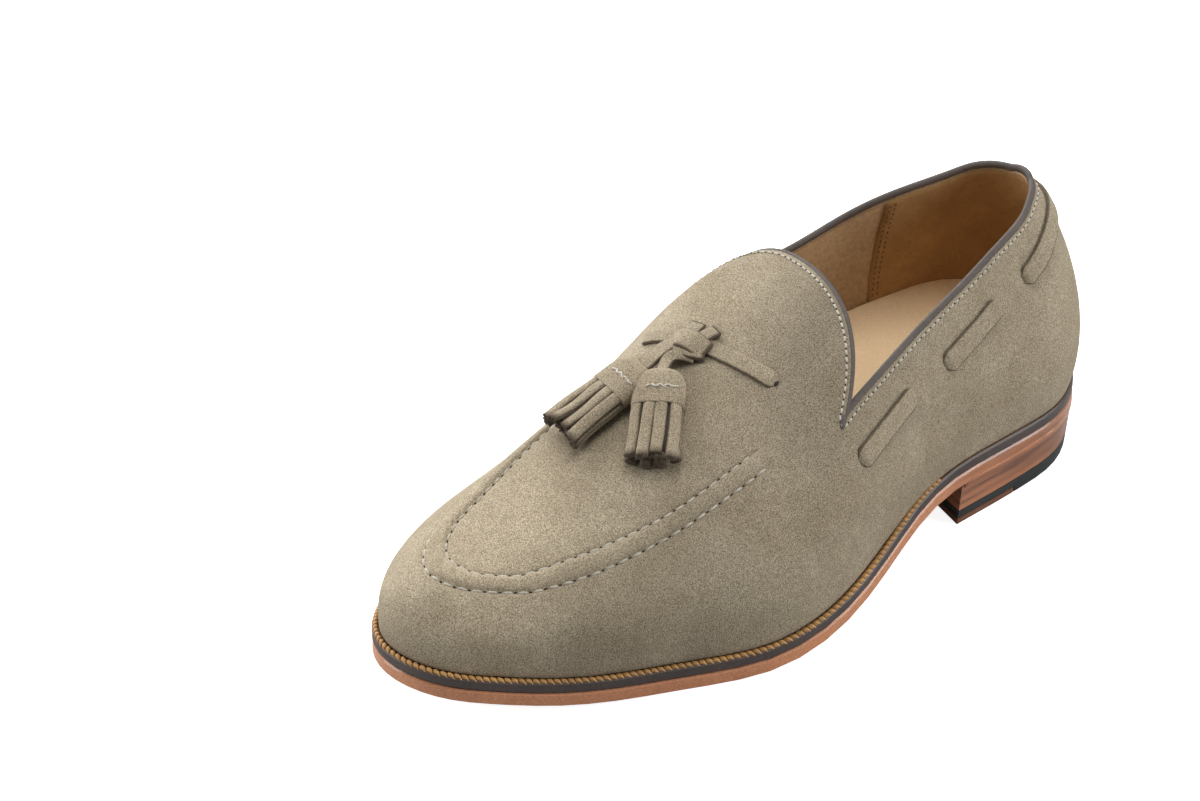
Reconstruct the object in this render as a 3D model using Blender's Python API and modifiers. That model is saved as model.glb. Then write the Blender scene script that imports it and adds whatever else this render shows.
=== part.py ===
"""A left tassel loafer: suede upper, leather sole and stacked heel, standing on its sole.

The toe points along -Y, the little toe side along +X, the floor is z = 0.
All sizes are in millimetres and become metres when a mesh is made.
"""
import math

import bmesh
import bpy
import numpy as np
from mathutils import Matrix, Vector

MM = 0.001

# Sizes of the whole shoe
LENGTH = 291.5
BALL_WIDTH = 106.0
COLLAR_HEIGHT = 102.0
HEEL_RISE = 17.3
JOINT_GAP = 0.3

# Sizes of the layers
OUTSOLE_THICK = 5.3
WELT_THICK = 4.3
WELT_SHOW = 2.6
RAND_SHOW = 1.0
EDGE_ROUND = 0.6
TOE_SWING = 3.3
UPPER_WALL = 2.0
INSOLE_THICK = 3.0
HEEL_PAD = 8.5
RUBBER_THICK = 3.4
TOP_PIECE_THICK = 2.4
HEEL_TAPER = 1.6
BREAST_HOLLOW = 3.0

# Sizes of the trim
APRON_RISE = 1.3
BINDING_RADIUS = 1.4
STRAP_WIDTH = 6.2
STRAP_THICK = 1.5
TASSEL_WIDTH = 15.5
TASSEL_DEPTH = 8.0
CAP_LENGTH = 11.0
FRINGE_LENGTH = 21.0
CORD_WIDTH = 5.0
CORD_THICK = 2.2
STRAP_CLEAR = 0.45
TASSEL_CLEAR = 1.2
KNOT_HALF = (6.5, 5.0, 3.2)
CORD_APART = 2.8
CORD_CLEAR = 0.5
CORD_ARCH = {"cord_right": 2.6, "cord_left": 0.8}

# Where the sections change, as shares of the length from the back of the heel
BREAST = 0.262
QUARTER_PIECE = 0.165
TOE_SWING_START = 0.75
HEEL_CENTRE = 0.119
CORNER = 0.46
TOE_CENTRE = 0.86
TONGUE_TOP = 0.378
CENTRE_SHIFT = 0.015
PAD_START = 0.28
PAD_END = 0.62

# Outline of the outsole: share of length, lateral and medial half width (of ball width)
# from the shoe's axis, which swings to the medial side at the toe
OUTLINE = [
    (0.03, 0.209, 0.205),
    (0.08, 0.312, 0.295),
    (0.14, 0.352, 0.322),
    (0.21, 0.370, 0.322),
    (0.30, 0.395, 0.300),
    (0.40, 0.490, 0.285),
    (0.50, 0.585, 0.330),
    (0.58, 0.604, 0.392),
    (0.66, 0.556, 0.440),
    (0.73, 0.478, 0.462),
    (0.80, 0.411, 0.448),
    (0.87, 0.338, 0.384),
    (0.93, 0.256, 0.288),
    (0.97, 0.182, 0.190),
]
# Underside of the outsole: share of length, height (of heel rise)
UNDERSIDE = [
    (0.00, 1.000),
    (0.12, 1.000),
    (0.27, 1.000),
    (0.32, 0.895),
    (0.40, 0.640),
    (0.48, 0.361),
    (0.56, 0.120),
    (0.62, 0.010),
    (0.65, 0.000),
    (0.71, 0.000),
    (0.75, 0.014),
    (0.84, 0.140),
    (0.90, 0.303),
    (0.95, 0.486),
    (1.00, 0.705),
]
# Shoulder line, the top line behind the corner: share of length, lateral and medial reach
# (of the section's half width), lateral and medial height (of collar height), inward lean
# (degrees)
SHOULDER = [
    (0.000, 0.53, 0.53, 1.015, 1.015, 32),
    (0.030, 0.47, 0.53, 1.009, 1.009, 29),
    (0.080, 0.46, 0.59, 0.990, 0.990, 22),
    (0.119, 0.51, 0.64, 0.972, 0.972, 17),
    (0.180, 0.62, 0.80, 0.940, 0.945, 14),
    (0.240, 0.70, 0.99, 0.890, 0.895, 15),
    (0.300, 0.74, 1.12, 0.838, 0.850, 18),
    (0.400, 0.75, 1.24, 0.760, 0.840, 27),
    (0.460, 0.76, 1.24, 0.715, 0.835, 36),
    (0.540, 0.81, 1.13, 0.575, 0.690, 42),
    (0.620, 0.87, 1.01, 0.455, 0.535, 42),
    (0.700, 0.92, 0.95, 0.385, 0.410, 42),
    (0.780, 0.93, 0.94, 0.360, 0.368, 42),
    (0.860, 0.93, 0.93, 0.350, 0.352, 42),
    (0.930, 0.92, 0.92, 0.350, 0.350, 42),
    (1.000, 0.91, 0.91, 0.355, 0.355, 42),
]
# Foot of the wall: share of length, outward lean on the lateral and medial side (degrees)
FOOT_LEAN = [
    (0.00, 16, 16),
    (0.12, 16, 18),
    (0.30, 8, 26),
    (0.45, 6, 26),
    (0.60, 12, 18),
    (0.75, 14, 12),
    (1.00, 8, 8),
]
# Ridge of the vamp: share of length, height (of collar height), side offset (of ball width)
RIDGE = [
    (0.36, 0.985, -0.080),
    (0.42, 0.945, -0.080),
    (0.50, 0.860, -0.075),
    (0.58, 0.780, -0.075),
    (0.66, 0.700, -0.070),
    (0.74, 0.615, -0.060),
    (0.80, 0.550, -0.050),
    (0.86, 0.490, -0.040),
    (0.94, 0.415, -0.035),
]
# Apron band on the vamp: share of length, lateral outer and inner edge, medial outer and
# inner edge (of the way from shoulder to ridge)
APRON = [
    (0.46, 0.270, 0.370, 0.480, 0.580),
    (0.60, 0.267, 0.367, 0.480, 0.590),
    (0.70, 0.250, 0.350, 0.480, 0.610),
    (0.80, 0.235, 0.385, 0.485, 0.670),
    (0.86, 0.275, 0.455, 0.465, 0.680),
    (0.93, 0.355, 0.560, 0.440, 0.675),
    (1.00, 0.435, 0.680, 0.435, 0.680),
]
APRON_END = {1: 0.590, -1: 0.640}
# Fullness of the vamp between shoulder and ridge: share of length, lateral and medial
FULLNESS = [
    (0.46, 1.20, 1.50),
    (0.80, 1.20, 1.50),
    (0.92, 1.20, 1.32),
    (1.00, 1.20, 1.20),
]
# How strongly the tongue's edge turns back at its corners
TONGUE_PULL = 1.35
# Columns of the upper on one side, counted between the places where the sections change
HEEL_COLUMNS = 8
QUARTER_COLUMNS = 12
VAMP_COLUMNS = 14
TOE_COLUMNS = 9
WALL_ROWS = 8
# Straps lying on the upper: place across the shoe (+2 lateral foot, +1 lateral shoulder,
# 0 ridge, -1 medial shoulder, -2 medial foot) and share of length, from end to end
STRAPS = {
    "side_strap_lateral_front": [(1.28, 0.452), (1.28, 0.400), (1.27, 0.340)],
    "side_strap_lateral_rear": [(1.30, 0.284), (1.27, 0.235), (1.235, 0.186)],
    "side_strap_medial_front": [(-1.28, 0.452), (-1.28, 0.400), (-1.27, 0.340)],
    "side_strap_medial_rear": [(-1.30, 0.284), (-1.27, 0.235), (-1.235, 0.186)],
    "back_strap": [(1.23, 0.137), (1.155, 0.03), (1.14, 0.0), (1.155, -0.03), (1.23, -0.137)],
    "vamp_strap": [(0.42, 0.556), (0.22, 0.573), (0.0, 0.587), (-0.2, 0.594), (-0.5, 0.597)],
}
KNOT = (0.03, 0.588)
# Tassel: place of its cap and of its fringe end
TASSELS = {"tassel_right": [(0.07, 0.640), (0.44, 0.702)],
           "tassel_left": [(-0.22, 0.640), (-0.16, 0.745)]}
# Sections of a tassel: share of its length, half width, half depth (of cap width and depth),
# how deep the slits between the strips are
TASSEL_SECTIONS = [
    (0.000, 0.30, 0.25, 0.00),
    (0.010, 0.42, 0.38, 0.00),
    (0.040, 0.49, 0.48, 0.00),
    (0.330, 0.51, 0.51, 0.00),
    (0.350, 0.46, 0.45, 0.04),
    (0.420, 0.46, 0.46, 0.14),
    (0.600, 0.50, 0.50, 0.19),
    (0.800, 0.56, 0.55, 0.23),
    (0.985, 0.62, 0.60, 0.27),
    (1.000, 0.60, 0.58, 0.30),
]
STRIPS = 9


def spline(rows, column):
    """Smooth curve through one column of a table, against its first column."""
    x = np.array([row[0] for row in rows], float)
    y = np.array([row[column] for row in rows], float)
    count = len(x)
    step = np.diff(x)
    matrix = np.zeros((count, count))
    right = np.zeros(count)
    matrix[0, 0] = matrix[-1, -1] = 1.0
    for i in range(1, count - 1):
        matrix[i, i - 1:i + 2] = step[i - 1], 2 * (step[i - 1] + step[i]), step[i]
        right[i] = 6 * ((y[i + 1] - y[i]) / step[i] - (y[i] - y[i - 1]) / step[i - 1])
    bend = np.linalg.solve(matrix, right)

    def value(at):
        i = min(max(int(np.searchsorted(x, at)) - 1, 0), count - 2)
        after, before, gap = at - x[i], x[i + 1] - at, step[i]
        return ((bend[i] * before ** 3 + bend[i + 1] * after ** 3) / (6 * gap)
                + (y[i] / gap - bend[i] * gap / 6) * before
                + (y[i + 1] / gap - bend[i + 1] * gap / 6) * after)
    return value


def rounded(rows, column):
    """The same for a width that closes in a round end at both ends of the length."""
    shape = [(row[0], row[column] / math.sqrt(row[0] * (1 - row[0]))) for row in rows]
    inner = spline(shape, 1)
    return lambda at: inner(at) * math.sqrt(max(at * (1 - at), 0.0))


HALF_WIDTH = {1: rounded(OUTLINE, 1), -1: rounded(OUTLINE, 2)}
UNDER = spline(UNDERSIDE, 1)
REACH = {1: spline(SHOULDER, 1), -1: spline(SHOULDER, 2)}
SHOULDER_Z = {1: spline(SHOULDER, 3), -1: spline(SHOULDER, 4)}
SHOULDER_LEAN = spline(SHOULDER, 5)
FOOT = {1: spline(FOOT_LEAN, 1), -1: spline(FOOT_LEAN, 2)}
RIDGE_Z = spline(RIDGE, 1)
RIDGE_X = spline(RIDGE, 2)
FULL = {1: spline(FULLNESS, 1), -1: spline(FULLNESS, 2)}


def ease(value, start, end):
    """0 before start, 1 after end, smooth in between."""
    t = min(max((value - start) / (end - start), 0.0), 1.0)
    return t * t * (3 - 2 * t)


def unit(vector):
    return vector / np.linalg.norm(vector)


def along(share):
    """Position on the Y axis of a share of the length."""
    return LENGTH * (0.5 - share)


def under(share):
    """Height of the outsole's underside."""
    return HEEL_RISE * max(UNDER(share), 0.0)


def axis_x(share):
    """Side position of the shoe's axis."""
    return -TOE_SWING * ease(share, TOE_SWING_START, 1.0)


def edge(side, share, inset=0.0):
    """Point of the sole's outline, moved inward square to the outline."""
    def raw(at):
        return np.array([axis_x(at) + side * BALL_WIDTH * HALF_WIDTH[side](at), along(at)])
    near, far = 1e-4, 1 - 1e-4
    at = min(max(share, near), far)
    run = raw(at + near) - raw(at - near)
    run /= np.linalg.norm(run)
    inward = np.array([run[1], -run[0]]) * side
    point = raw(min(max(share, 0.0), 1.0)) + inward * inset
    if share <= 0 or share >= 1:
        point[0] = axis_x(at)
        point[1] = along(share) - math.copysign(inset, along(share))
    return point


def feather_inset(share):
    """How far the upper's foot stands back from the sole edge."""
    return RAND_SHOW + (WELT_SHOW - RAND_SHOW) * ease(share, BREAST, CORNER)


def ridge(share):
    """Point of the vamp's ridge line."""
    return np.array([BALL_WIDTH * RIDGE_X(share), along(share), COLLAR_HEIGHT * RIDGE_Z(share)])


def section(side, share):
    """Foot and shoulder of one column of the upper, with its directions there."""
    foot = edge(side, share, feather_inset(share))
    y = min(max(foot[1], along(TOE_CENTRE)), along(HEEL_CENTRE))
    forward = ease(share, CORNER, TOE_CENTRE)
    shift = CENTRE_SHIFT + (RIDGE_X(TOE_CENTRE) - CENTRE_SHIFT) * forward
    centre = np.array([BALL_WIDTH * shift * ease(share, 0.0, HEEL_CENTRE), y])
    reach = foot - centre
    out = unit(reach)
    top = centre + reach * REACH[side](share)
    stand = under(share) + OUTSOLE_THICK + WELT_THICK + 2 * JOINT_GAP
    foot = np.array([foot[0], foot[1], stand])
    top = np.array([top[0], top[1], COLLAR_HEIGHT * SHOULDER_Z[side](share)])
    lean = math.radians(FOOT[side](share))
    foot_way = np.array([*(out * math.sin(lean)), math.cos(lean)])
    lean = math.radians(SHOULDER_LEAN(share))
    top_way = np.array([*(-out * math.sin(lean)), math.cos(lean)])
    return foot, foot_way, top, top_way, out


def hermite(start, start_way, end, end_way, t):
    """Curve between two points that leaves and arrives along the given ways."""
    return (start * (2 * t ** 3 - 3 * t ** 2 + 1) + start_way * (t ** 3 - 2 * t ** 2 + t)
            + end * (3 * t ** 2 - 2 * t ** 3) + end_way * (t ** 3 - t ** 2))


def wall(side, share, t):
    """Point of the wall, from the foot (0) to the shoulder or top line (1)."""
    foot, foot_way, top, top_way, _ = section(side, share)
    length = np.linalg.norm(top - foot)
    return hermite(foot, foot_way * length, top, top_way * length, t)


def ridge_share(share):
    """The ridge lies further back than the foot of its column, most at the tongue."""
    slide = (TOE_CENTRE - min(share, TOE_CENTRE)) / (TOE_CENTRE - CORNER)
    return TOE_CENTRE - slide * (TOE_CENTRE - TONGUE_TOP)


def cap(side, share, t):
    """Point of the vamp, from the shoulder (0) over to the ridge (1)."""
    _, _, top, top_way, out = section(side, share)
    step = 0.01
    back = unit(section(side, share - step)[2] - section(side, share + step)[2])
    pull = 1 - ease(share, CORNER, CORNER + 0.22)
    start_way = unit(top_way * (1 - 0.25 * pull) + back * TONGUE_PULL * pull)
    at = ridge_share(share)
    end = ridge(at)
    slope = (ridge(at - step)[2] - ridge(at + step)[2]) / (2 * step * LENGTH)
    way = -out if share > TOE_CENTRE else np.array([-side, 0.0])
    end_way = np.array([way[0], way[1], slope * way[1]])
    length = np.linalg.norm(end - top)
    full = FULL[side](share) * length
    return hermite(top, start_way * full, end, end_way * full, t)


def skin(side, share, rise):
    """Point of the upper's face: 0 to 1 up the wall, 1 to 2 over the vamp.

    A share past either end of the length goes on along the other side.
    """
    if not 0 <= share <= 1:
        side, share = -side, 2 * round(share) - share
    return wall(side, share, rise) if rise <= 1 else cap(side, share, rise - 1)


def skin_normal(side, share, rise):
    """Outward direction of the upper's face."""
    step = 0.004
    up = skin(side, share, rise + step) - skin(side, share, rise - step)
    run = skin(side, share + step, rise) - skin(side, share - step, rise)
    return unit(np.cross(run, up)) * -side


def skin_over(over, share):
    """Point and outward direction of the upper's face at a place across the shoe."""
    side = math.copysign(1, over)
    rise = 2 - abs(over)
    return skin(side, share, rise), skin_normal(side, share, min(rise, 1.985))


# MESHES START
for old in list(bpy.data.objects):
    bpy.data.objects.remove(old)
scene_root = bpy.context.scene.collection
loafer = bpy.data.collections.new("tassel_loafer")
cutters = bpy.data.collections.new("cutters")
scene_root.children.link(loafer)
scene_root.children.link(cutters)

COLOURS = {
    "suede": ((0.33, 0.28, 0.22, 1), 0.95),
    "binding": ((0.11, 0.09, 0.08, 1), 0.6),
    "sole_leather": ((0.36, 0.15, 0.08, 1), 0.45),
    "welt_leather": ((0.07, 0.05, 0.045, 1), 0.5),
    "rubber": ((0.02, 0.03, 0.03, 1), 0.6),
    "lining": ((0.62, 0.42, 0.26, 1), 0.55),
}


def material(name, kind):
    made = bpy.data.materials.new(name + "_material")
    made.use_nodes = True
    shader = made.node_tree.nodes["Principled BSDF"]
    colour, rough = COLOURS[kind]
    shader.inputs["Base Color"].default_value = colour
    shader.inputs["Roughness"].default_value = rough
    return made


def place(name, points, faces, kind, smooth=True, into=loafer):
    """Make one named object from points in millimetres and faces, all facing out."""
    mesh = bpy.data.meshes.new(name)
    mesh.from_pydata([Vector(p) * MM for p in points], [], faces)
    made = bmesh.new()
    made.from_mesh(mesh)
    bmesh.ops.recalc_face_normals(made, faces=made.faces)
    for face in made.faces:
        face.smooth = smooth and len(face.verts) <= 4
    made.to_mesh(mesh)
    made.free()
    thing = bpy.data.objects.new(name, mesh)
    mesh.materials.append(material(name, kind))
    into.objects.link(thing)
    return thing


def loft(name, rings, kind):
    """Closed solid through rings of equal count, flat at both ends."""
    count = len(rings[0])
    points = [p for ring in rings for p in ring]
    faces = []
    for level in range(len(rings) - 1):
        for i in range(count):
            a, b = level * count + i, level * count + (i + 1) % count
            faces.append((a, b, b + count, a + count))
    faces.append(tuple(reversed(range(count))))
    last = (len(rings) - 1) * count
    faces.append(tuple(range(last, last + count)))
    return place(name, points, faces, kind)


def layer(name, inset, base, thick, kind):
    """One layer of the sole, over the whole length, following the underside's curve.

    Inset and thickness are functions of the share of the length.
    """
    steps = 40
    shares = [0.5 * (1 - math.cos(math.pi * i / steps)) for i in range(steps + 1)]
    order = [(1, s) for s in shares] + [(-1, s) for s in shares[-2:0:-1]]
    levels = [(EDGE_ROUND, 0, 0.0), (0.0, 0, EDGE_ROUND), (0.0, 1, -EDGE_ROUND), (EDGE_ROUND, 1, 0.0)]
    points = []
    for more, top, height in levels:
        for side, share in order:
            flat = edge(side, share, inset(share) + more)
            points.append((*flat, under(share) + base + top * thick(share) + height))
    count = len(order)
    faces = []
    for level in range(len(levels) - 1):
        for i in range(count):
            a, b = level * count + i, level * count + (i + 1) % count
            faces.append((a, b, b + count, a + count))
    for first in (0, (len(levels) - 1) * count):
        for i in range(steps):
            left, right = first + (count - i) % count, first + i
            ahead_left, ahead_right = first + count - i - 1, first + i + 1
            corners = (left, right, ahead_right, ahead_left)
            faces.append(tuple(dict.fromkeys(corners)))
    return place(name, points, faces, kind)


def heel_layer(name, low, high, kind):
    """One layer of the heel, cut off by the hollow breast."""
    steps, across = 16, 6
    half = [BREAST * (i / steps) ** 2 for i in range(steps + 1)]
    rings = []
    for height in (low, high):
        inset = HEEL_TAPER * (1 - height / HEEL_RISE)
        lateral = [edge(1, s, inset) for s in half]
        medial = [edge(-1, s, inset) for s in half]
        ring = [(*p, height) for p in lateral]
        for i in range(1, across):
            t = i / across
            p = lateral[-1] * (1 - t) + medial[-1] * t
            ring.append((p[0], p[1] + BREAST_HOLLOW * 4 * t * (1 - t), height))
        ring += [(*p, height) for p in reversed(medial[1:])]
        rings.append(ring)
    return loft(name, rings, kind)


def cut(thing, name, low, high):
    """Take away a block between two corners, in millimetres."""
    size = [high[i] - low[i] for i in range(3)]
    bpy.ops.mesh.primitive_cube_add(size=1)
    block = bpy.context.object
    block.name = name
    for corner in block.data.vertices:
        corner.co = [(low[i] + (corner.co[i] + 0.5) * size[i]) * MM for i in range(3)]
    for home in list(block.users_collection):
        home.objects.unlink(block)
    cutters.objects.link(block)
    block.hide_render = True
    block.display_type = "WIRE"
    taken = thing.modifiers.new(name, "BOOLEAN")
    taken.operation = "DIFFERENCE"
    taken.solver = "EXACT"
    taken.object = block


# Sole: outsole, welt and the layers of the heel
layer("outsole", lambda share: 0.0, 0.0, lambda share: OUTSOLE_THICK, "sole_leather")
layer("welt", lambda share: 0.0, OUTSOLE_THICK + JOINT_GAP, lambda share: WELT_THICK,
      "welt_leather")
heel_layer("heel_stack", TOP_PIECE_THICK + RUBBER_THICK + 2 * JOINT_GAP, HEEL_RISE - JOINT_GAP,
           "sole_leather")
rubber = heel_layer("heel_rubber", 0.0, TOP_PIECE_THICK + RUBBER_THICK + JOINT_GAP, "rubber")
front_piece = heel_layer("heel_top_piece", 0.0, TOP_PIECE_THICK, "sole_leather")
seam = along(QUARTER_PIECE)
cut(rubber, "room_for_top_piece", (-LENGTH, seam - LENGTH, -HEEL_RISE),
    (LENGTH, seam, TOP_PIECE_THICK + JOINT_GAP))
cut(front_piece, "room_for_rubber", (-LENGTH, seam - JOINT_GAP, -HEEL_RISE),
    (LENGTH, LENGTH, HEEL_RISE))

# Insole: a board inside the upper, resting on the welt, thicker over the heel pad and shank
INSOLE_ROOM = 1.3 * UPPER_WALL + 2 * JOINT_GAP
layer("insole", lambda share: feather_inset(share) + INSOLE_ROOM,
      OUTSOLE_THICK + WELT_THICK + 2 * JOINT_GAP,
      lambda share: INSOLE_THICK + HEEL_PAD * (1 - ease(share, PAD_START, PAD_END)), "lining")

# Upper: one sheet from foot to top line, vamp and tongue, with the apron band raised
columns = [HEEL_CENTRE * (i / HEEL_COLUMNS) ** 2 for i in range(HEEL_COLUMNS)]
columns += [HEEL_CENTRE + (CORNER - HEEL_CENTRE) * i / QUARTER_COLUMNS
            for i in range(QUARTER_COLUMNS)]
first_vamp = len(columns)
columns += [CORNER + (TOE_CENTRE - CORNER) * i / VAMP_COLUMNS for i in range(VAMP_COLUMNS)]
first_toe = len(columns)
columns += [1 - (1 - TOE_CENTRE) * (1 - i / TOE_COLUMNS) ** 2 for i in range(TOE_COLUMNS + 1)]
EDGES = {1: (spline(APRON, 1), spline(APRON, 2)), -1: (spline(APRON, 3), spline(APRON, 4))}


def cap_rows(side, share):
    """Places between shoulder and ridge, with the share of the band's rise at each."""
    outer, inner = EDGES[side][0](share), EDGES[side][1](share)
    raised = ease(share, APRON_END[side] - 0.012, APRON_END[side] + 0.012)
    rows = [(outer * i / 3, 0.0) for i in range(1, 4)]
    rows += [(outer + (inner - outer) * i, raised) for i in (0.15, 0.5, 0.85)]
    rows += [(inner + (1 - inner) * i / 5, 0.0) for i in range(5)]
    return rows


points, lifts, index = [], [], {}


def corner(key, point, lift=0.0):
    """Number of a vertex, made once for each key."""
    if key not in index:
        index[key] = len(points)
        points.append(point)
        lifts.append(lift)
    return index[key]


def column_line(side, i):
    """Vertex numbers of one column from foot to top line or ridge."""
    share = columns[i]
    owner = 0 if i in (0, len(columns) - 1) else side
    line = [corner((owner, i, row), wall(side, share, row / WALL_ROWS))
            for row in range(WALL_ROWS + 1)]
    if i >= first_vamp:
        rows = cap_rows(side, share)
        line += [corner((owner, i, WALL_ROWS + 1 + row), cap(side, share, t), lift)
                 for row, (t, lift) in enumerate(rows)]
        line.append(corner(("ridge", min(i, first_toe)), cap(side, share, 1.0)))
    return line


faces = []
for side in (1, -1):
    for i in range(len(columns) - 1):
        near_line, far_line = column_line(side, i), column_line(side, i + 1)
        for row in range(min(len(near_line), len(far_line)) - 1):
            face = (near_line[row], far_line[row], far_line[row + 1], near_line[row + 1])
            faces.append(tuple(dict.fromkeys(face)))
upper = place("upper", points, faces, "suede")
for vertex, lift in zip(upper.data.vertices, lifts):
    vertex.co += vertex.normal * (lift * APRON_RISE * MM)
shell = upper.modifiers.new("wall", "SOLIDIFY")
shell.thickness = UPPER_WALL * MM
shell.offset = -1
shell.use_even_offset = True

# Collar binding: a roll along the top line and the tongue's edge
path = [(1, HEEL_CENTRE * (i / 10) ** 2, 1.0) for i in range(10)]
path += [(1, s, 1.0) for s in np.linspace(HEEL_CENTRE, CORNER, 24)]
path += [(1, CORNER, 1 + t) for t in np.linspace(0, 1, 23)[1:]]
path += [(-1, s, r) for _, s, r in reversed(path[1:-1])]
line = np.array([skin(*place_on) for place_on in path])
heading = np.roll(line, -1, 0) - np.roll(line, 1, 0)
room = BINDING_RADIUS + 2 * JOINT_GAP
middle, roll = [], []
for place_on, point, way in zip(path, line, heading):
    side, share, rise = place_on
    normal = skin_normal(side, share, min(rise, 1.985))
    inside = point - normal * UPPER_WALL / 2
    middle.append(inside)
    roll.append(inside - np.cross(normal, unit(way)) * room)
middle, roll = np.array(middle), np.array(roll)
free = [p for p in roll if np.min(np.linalg.norm(middle - p, axis=1)) > room * 0.99]
for _ in range(2):
    free = [0.25 * free[i - 1] + 0.5 * free[i] + 0.25 * free[(i + 1) % len(free)]
            for i in range(len(free))]
curve = bpy.data.curves.new("collar_binding", "CURVE")
curve.dimensions = "3D"
curve.bevel_depth = BINDING_RADIUS * MM
curve.bevel_resolution = 1
run = curve.splines.new("POLY")
run.points.add(len(free) - 1)
for knot_point, p in zip(run.points, free):
    knot_point.co = (*(p * MM), 1)
run.use_cyclic_u = True
guide = bpy.data.objects.new("binding_guide", curve)
loafer.objects.link(guide)
bpy.context.view_layer.update()
binding_mesh = bpy.data.meshes.new_from_object(guide)
bpy.data.objects.remove(guide)
binding_mesh.materials.clear()
binding_mesh.materials.append(material("collar_binding", "binding"))
binding = bpy.data.objects.new("collar_binding", binding_mesh)
loafer.objects.link(binding)


def on_skin(rows, t):
    """Place at a share t of the way through a short list of places."""
    at = t * (len(rows) - 1)
    i = min(int(at), len(rows) - 2)
    root = [math.copysign(math.sqrt(abs(share)), share) for _, share in rows]
    over, root = [before + (after - before) * (at - i) for before, after in
                  ((rows[i][0], rows[i + 1][0]), (root[i], root[i + 1]))]
    return over, root * abs(root)


def strap(name, rows):
    """A flat strip of suede lying just off the skin, rounded off at both ends."""
    steps = 6 * (len(rows) - 1)
    centres = [skin_over(*on_skin(rows, i / steps)) for i in range(steps + 1)]
    rings = []
    for i, (point, normal) in enumerate(centres):
        ahead = centres[min(i + 1, steps)][0] - centres[max(i - 1, 0)][0]
        wide = unit(np.cross(normal, ahead))
        close = min(i, steps - i)
        half = STRAP_WIDTH / 2 * (0.72, 0.94, 1.0)[min(close, 2)]
        foot = point + normal * STRAP_CLEAR
        top = foot + normal * STRAP_THICK
        rings.append([foot - wide * half, foot + wide * half,
                      foot + wide * half + normal * STRAP_THICK * 0.6,
                      top + wide * half * 0.8, top - wide * half * 0.8,
                      foot - wide * half + normal * STRAP_THICK * 0.6])
    return loft(name, rings, "suede")


for name, rows in STRAPS.items():
    strap(name, rows)


def tassel(name, rows):
    """A cap with a fringe of strips joined into one body, lying over the vamp."""
    total = CAP_LENGTH + FRINGE_LENGTH
    lift = TASSEL_DEPTH * 0.62 + TASSEL_CLEAR
    (start, up), (end, end_up) = skin_over(*rows[0]), skin_over(*rows[1])
    start, end = start + up * lift, end + end_up * lift
    axis = unit(end - start)
    up = unit(up + end_up)
    up = unit(up - axis * np.dot(up, axis))
    wide = np.cross(axis, up)
    rings = []
    for share, half_width, half_depth, slit in TASSEL_SECTIONS:
        centre = start + axis * total * share
        ring = []
        for i in range(STRIPS * 4):
            turn = 2 * math.pi * i / (STRIPS * 4)
            size = 1 - slit * (i % 4 == 0)
            across = math.copysign(abs(math.cos(turn)) ** 0.75, math.cos(turn))
            over = math.copysign(abs(math.sin(turn)) ** 0.75, math.sin(turn))
            ring.append(centre + wide * across * half_width * TASSEL_WIDTH * size
                        + up * over * half_depth * TASSEL_DEPTH * size)
        rings.append(ring)
    loft(name, rings, "suede")
    return start, axis, up


tassels = {name: tassel(name, rows) for name, rows in TASSELS.items()}


def cord(name, line, up):
    """A flattened cord through a few points."""
    line = [np.array(p) for p in line]
    fine = []
    steps = 10
    for i in range(steps + 1):
        t = i / steps
        a, b, c, d = line
        fine.append(a * (1 - t) ** 3 + b * 3 * t * (1 - t) ** 2 + c * 3 * t * t * (1 - t) + d * t ** 3)
    rings = []
    for i, p in enumerate(fine):
        ahead = unit(fine[min(i + 1, steps)] - fine[max(i - 1, 0)])
        wide = unit(np.cross(ahead, up))
        high = np.cross(wide, ahead)
        rings.append([p + wide * math.cos(a) * CORD_WIDTH / 2 + high * math.sin(a) * CORD_THICK / 2
                      for a in np.arange(8) * math.pi / 4])
    loft(name, rings, "suede")


# Knot and the two cords that carry the tassels
knot_at, knot_up = skin_over(*KNOT)
knot_centre = knot_at + knot_up * (JOINT_GAP * 2.5 + STRAP_THICK + KNOT_HALF[2])
knot_along = unit(skin_over(KNOT[0], KNOT[1] + 0.02)[0] - knot_at)
knot_along = unit(knot_along - knot_up * np.dot(knot_along, knot_up))
knot_wide = np.cross(knot_along, knot_up)
rings = []
for i in range(1, 8):
    slope = math.pi * i / 8
    ring = []
    for j in range(14):
        turn = 2 * math.pi * j / 14
        ring.append(knot_centre + knot_up * math.cos(slope) * KNOT_HALF[2]
                    + knot_wide * math.sin(slope) ** 0.7 * math.cos(turn) * KNOT_HALF[0]
                    + knot_along * math.sin(slope) ** 0.7 * math.sin(turn) * KNOT_HALF[1])
    rings.append(ring)
loft("knot", rings, "suede")
for name, aside in (("cord_right", -CORD_APART), ("cord_left", CORD_APART)):
    start, axis, up = tassels[name.replace("cord", "tassel")]
    leave = knot_centre + knot_along * (KNOT_HALF[1] + CORD_CLEAR) + knot_wide * aside
    arrive = start - axis * CORD_CLEAR
    rise = up * CORD_ARCH[name]
    reach = np.linalg.norm(arrive - leave) / 3
    cord(name, [leave, leave + knot_along * reach + rise, arrive - axis * reach + rise, arrive],
         up)

# Stand the shoe with the middle of its box over the origin and its heel on the floor
bpy.context.view_layer.update()
things = list(loafer.objects) + list(cutters.objects)
cloud = np.array([v.co for thing in loafer.objects for v in thing.data.vertices])
low, high = cloud.min(axis=0), cloud.max(axis=0)
shift = Matrix.Translation((-(low[0] + high[0]) / 2, -(low[1] + high[1]) / 2, -low[2]))
for thing in things:
    thing.data.transform(shift)
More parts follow.
